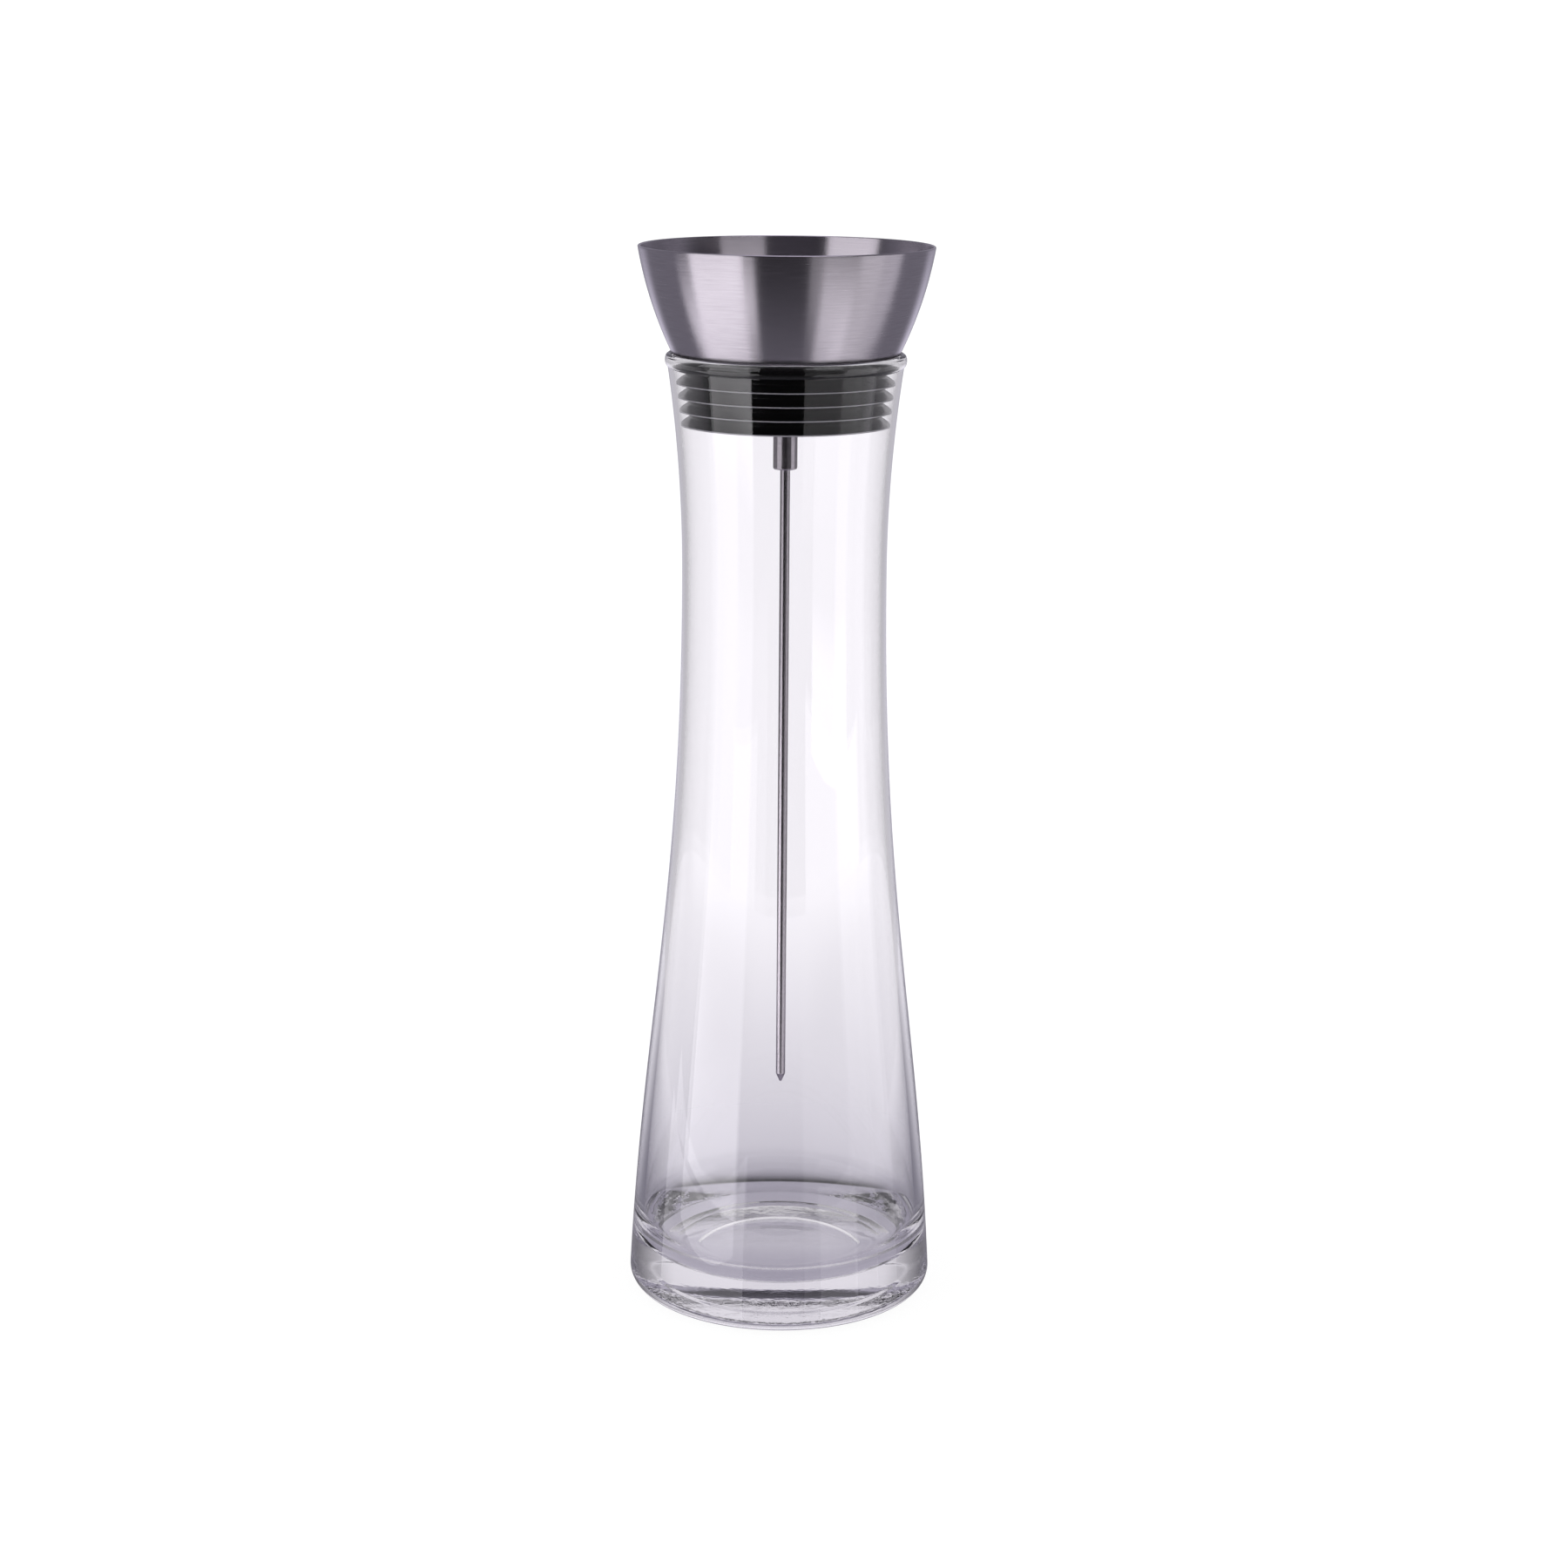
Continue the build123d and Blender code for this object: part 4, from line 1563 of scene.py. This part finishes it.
@dataclass
class Floor:
    """A small pale disc under the glass: white to the camera but for a shadow, painted shade through glass.

    The spans that end in _m are of the distance from the glass's axis, slant is of how far to the side of
    the axis a spot lies, and behind and ahead are of how far back it lies, as shares of its distance.
    """

    radius_m: float = 0.295
    set_back_m: float = 0.125
    drop_m: float = 0.0003
    rings: int = 24
    sides: int = 96
    paint: str = "#F2F2F3"
    shadow: float = 0.14
    shadow_m: Span = (0.03, 0.16)
    # Painted shade that shows through glass: dusky near the foot and darker still to its sides
    dusk: str = "#AAA5B5"
    dusk_m: Span = (0.06, 0.42)
    dusk_power: float = 0.5
    side_dusk: str = "#74717E"
    slant: Span = (0.4, 0.85)
    side_dusk_m: Span = (0.04, 0.07)
    # Painted contact shadow: a dark ring on the floor close behind the foot
    contact_shadow: str = "#323035"
    contact_onset_m: Span = (0.0563, 0.0573)
    contact_fade_m: Span = (0.0582, 0.09)
    contact_power: float = 7.0
    behind: Span = (0.72, 0.9)
    ahead: Span = (0.45, 0.85)
    border_share: float = 0.7

    @property
    def middle(self) -> tuple[float, float, float]:
        """The middle of the disc, which is set back from the axis."""
        return (0.0, self.set_back_m, -self.drop_m)

    def build(self) -> None:
        """Lays the disc: rings of quads round a fan of triangles."""
        rings = np.linspace(0.0, self.radius_m, self.rings + 1)[1:]
        angles = np.linspace(0.0, 2 * np.pi, self.sides, endpoint=False)
        points = np.zeros((self.rings, self.sides, 3))
        points[:, :, 0] = rings[:, None] * np.cos(angles)
        points[:, :, 1] = rings[:, None] * np.sin(angles) + self.set_back_m
        points[:, :, 2] = -self.drop_m
        index = np.arange(self.rings * self.sides).reshape(self.rings, self.sides)
        beside = np.roll(index, -1, axis=1)
        quads = np.stack([index[:-1], index[1:], beside[1:], beside[:-1]], axis=2).reshape(-1, 4)
        fan = np.stack([np.full(self.sides, index.size), index[0], beside[0]], axis=1)
        mesh = bpy.data.meshes.new("studio_floor")
        spots = [*points.reshape(-1, 3).tolist(), self.middle]
        mesh.from_pydata(spots, [], [*quads.tolist(), *fan.tolist()])
        floor = bpy.data.objects.new("studio_floor", mesh)
        floor.visible_glossy = False
        bpy.context.scene.collection.objects.link(floor)
        mesh.materials.append(self.material())

    def contact_shade(
        self, tree: bpy.types.NodeTree, distance: bpy.types.Node, heading: bpy.types.Node
    ) -> bpy.types.Node:
        """How deep the painted shadow ring just behind the foot is: a steep falloff from the foot's edge.

        Args:
            tree: The floor's nodes.
            distance: Distance from the axis.
            heading: How far back a spot lies, as a share of its distance.

        Returns:
            The node that gives the depth, from 0 to 1.
        """
        nearness = add_node(tree, "MapRange", (distance, *self.contact_fade_m, 1.0, 0.0))
        falloff = add_node(tree, "Math", (nearness, self.contact_power), operation="POWER")
        onset = add_node(tree, "MapRange", (distance, *self.contact_onset_m))
        ring = add_node(tree, "Math", (falloff, onset), operation="MULTIPLY")
        behind = add_node(tree, "MapRange", (heading, *self.behind), **SMOOTH)
        return add_node(tree, "Math", (ring, behind), operation="MULTIPLY")

    def glow(
        self, tree: bpy.types.NodeTree, place: bpy.types.NodeSocket, distance: bpy.types.Node
    ) -> bpy.types.Node:
        """The floor's colour through glass: painted shade near the foot and at its sides, white farther out.

        Args:
            tree: The floor's nodes.
            place: A spot's place.
            distance: Its distance from the axis.

        Returns:
            The node that gives the colour.
        """
        parts = add_node(tree, "SeparateXYZ", {"Vector": place})
        sideways = add_node(tree, "Math", (parts.outputs["X"],), operation="ABSOLUTE")
        slant = add_node(tree, "Math", (sideways, distance), operation="DIVIDE")
        heading = add_node(tree, "Math", (parts.outputs["Y"], distance), operation="DIVIDE")
        outwards = add_node(tree, "MapRange", (distance, *self.dusk_m))
        lifted = add_node(tree, "Math", (outwards, self.dusk_power), operation="POWER")
        flank = add_node(tree, "MapRange", (slant, *self.slant), **SMOOTH)
        away = add_node(tree, "MapRange", (distance, *self.side_dusk_m))
        dim = add_node(tree, "Math", (flank, away), operation="MULTIPLY")
        reach = add_node(tree, "VectorMath", (place, self.middle), operation="DISTANCE")
        outer = (self.border_share * self.radius_m, self.radius_m)
        border = add_node(tree, "MapRange", (reach, *outer), **SMOOTH)
        ended = add_node(tree, "MapRange", (heading, *self.ahead, border, 0.0), **SMOOTH)
        contact_shadow = self.contact_shade(tree, distance, heading)
        # Painted shade: dusk near the foot, darker at its sides, and the painted shadow ring behind it
        layers = ((lifted, SCREEN), (dim, self.side_dusk), (contact_shadow, self.contact_shadow), (ended, SCREEN))
        colour = linear(self.dusk)
        for share, layer in layers:
            colours = {FACTOR: share, COLOUR_A: colour, COLOUR_B: linear(layer)}
            colour = add_node(tree, "Mix", colours, **COLOURED)
        return colour

    def material(self) -> bpy.types.Material:
        """Matt white paint near the object, mixed outwards into the white of the background.

        Returns:
            The material.
        """
        material = bpy.data.materials.new("studio floor paint")
        material.use_nodes = True
        tree = material.node_tree
        tree.nodes.clear()
        seen = add_node(tree, "LightPath").outputs["Is Camera Ray"]
        place = add_node(tree, "TexCoord").outputs["Object"]
        distance = add_node(tree, "VectorMath", (place,), operation="LENGTH")
        shade = add_node(tree, "MapRange", (distance, *self.shadow_m, 1.0, 0.0), **SMOOTH)
        share = add_node(tree, "Math", (shade, self.shadow), operation="MULTIPLY")
        glow = self.glow(tree, place, distance)
        colour = add_node(tree, "Mix", {FACTOR: seen, COLOUR_A: glow, COLOUR_B: WHITE}, **COLOURED)
        levels = {FACTOR: seen, LEVEL_A: LOW_SCREEN_LEVEL, LEVEL_B: SCREEN_LEVEL}
        strength = add_node(tree, "Mix", levels)
        paint = add_node(tree, "BsdfDiffuse", {"Color": linear(self.paint)})
        white = add_node(tree, "Emission", {"Color": colour, "Strength": strength})
        blend = add_node(tree, "MixShader", (share, white, paint))
        add_node(tree, "OutputMaterial", {"Surface": blend})
        return material


@dataclass
class Studio:
    """The lamps, the room and the floor.

    Each lamp's numbers are its azimuth, distance, width, height, middle's height and radiance, then the
    length and the level of its fade. The camera looks down, so what upright walls mirror lies low, and the
    funnel's inside mirrors the cards above it.
    """

    bounces: int = 24
    lamps: list[Softbox] = field(
        default_factory=lambda: [
            Softbox("left_softbox", -58.5, 1.2, 1.05, 0.262, -0.181, 2.0, 0.1, 0.35),
            Softbox("left_softbox_top", -58.5, 1.2, 1.05, 0.6, 0.25, 0.7),
            Softbox("upper_left_card", -58.5, 1.2, 1.05, 0.668, 0.884, 0.4),
            Softbox("funnel_left_card", -58.5, 1.25, 1.094, 0.696, 0.9075, 1.05, refracted=False),
            Softbox("right_softbox", 69.5, 1.2, 0.445, 2.486, -0.837, 0.75),
            Softbox("right_edge_card", 90.0, 1.2, 0.445, 2.486, -0.837, 0.55),
            Softbox("low_left_card", -63.5, 0.9, 1.342, 0.542, -0.429, 1.35),
            Softbox("under_left_card", -74.0, 0.9, 1.05, 0.8, -1.1, 0.55),
            Softbox("low_right_card", 46.0, 0.9, 0.48, 0.9, -0.6, 0.8),
            Softbox("front_right_fill", 39.0, 1.3, 0.946, 0.85, -0.475, 0.4, 0.1, 0.2),
            Softbox("upper_right_card", 39.0, 1.3, 0.946, 0.55, 1.025, 0.4),
            Softbox("funnel_right_card", 39.0, 1.35, 0.982, 0.571, 1.052, 0.7, refracted=False),
        ]
    )

    def build(self) -> None:
        """Builds the lamps, the room and the floor, and lets light bounce often enough in thick glass."""
        light_paths = bpy.context.scene.cycles
        light_paths.max_bounces = self.bounces
        light_paths.transmission_bounces = self.bounces
        light_paths.glossy_bounces = self.bounces
        for lamp in self.lamps:
            lamp.build()
        Room().build()
        Floor().build()


@dataclass
class Camera:
    """The photograph's camera: a little above the top of the funnel, looking down."""

    distance_m: float = 0.9158
    height_m: float = 0.3924
    side_m: float = 0.0004
    pitch: float = 14.0
    roll: float = 0.45
    lens_mm: float = 69.47
    sensor_mm: float = 36.0
    nearest_m: float = 0.01

    def build(self) -> None:
        """Adds the camera and makes it the scene's own."""
        optics = bpy.data.cameras.new("camera")
        optics.lens = self.lens_mm
        optics.sensor_width = self.sensor_mm
        optics.sensor_fit = "HORIZONTAL"
        optics.clip_start = self.nearest_m
        holder = bpy.data.objects.new("camera", optics)
        place = Matrix.Translation((self.side_m, -self.distance_m, self.height_m))
        tilt = Matrix.Rotation(np.radians(90.0 - self.pitch), 4, "X")
        roll = Matrix.Rotation(np.radians(self.roll), 4, "Z")
        holder.matrix_world = place @ tilt @ roll
        bpy.context.scene.collection.objects.link(holder)
        bpy.context.scene.camera = holder


def main() -> None:
    """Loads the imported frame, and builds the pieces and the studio."""
    logging.basicConfig(level=logging.INFO, format="%(name)s: %(message)s")
    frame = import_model()
    bpy.context.scene.view_settings.view_transform = "Standard"
    glass = GlassBody()
    glass.build()
    Stopper(glass).build(frame["nodes"])
    PouringFlap().build()
    Skewer().build()
    Studio().build()
    Camera().build()


if __name__ == "__main__":
    main()
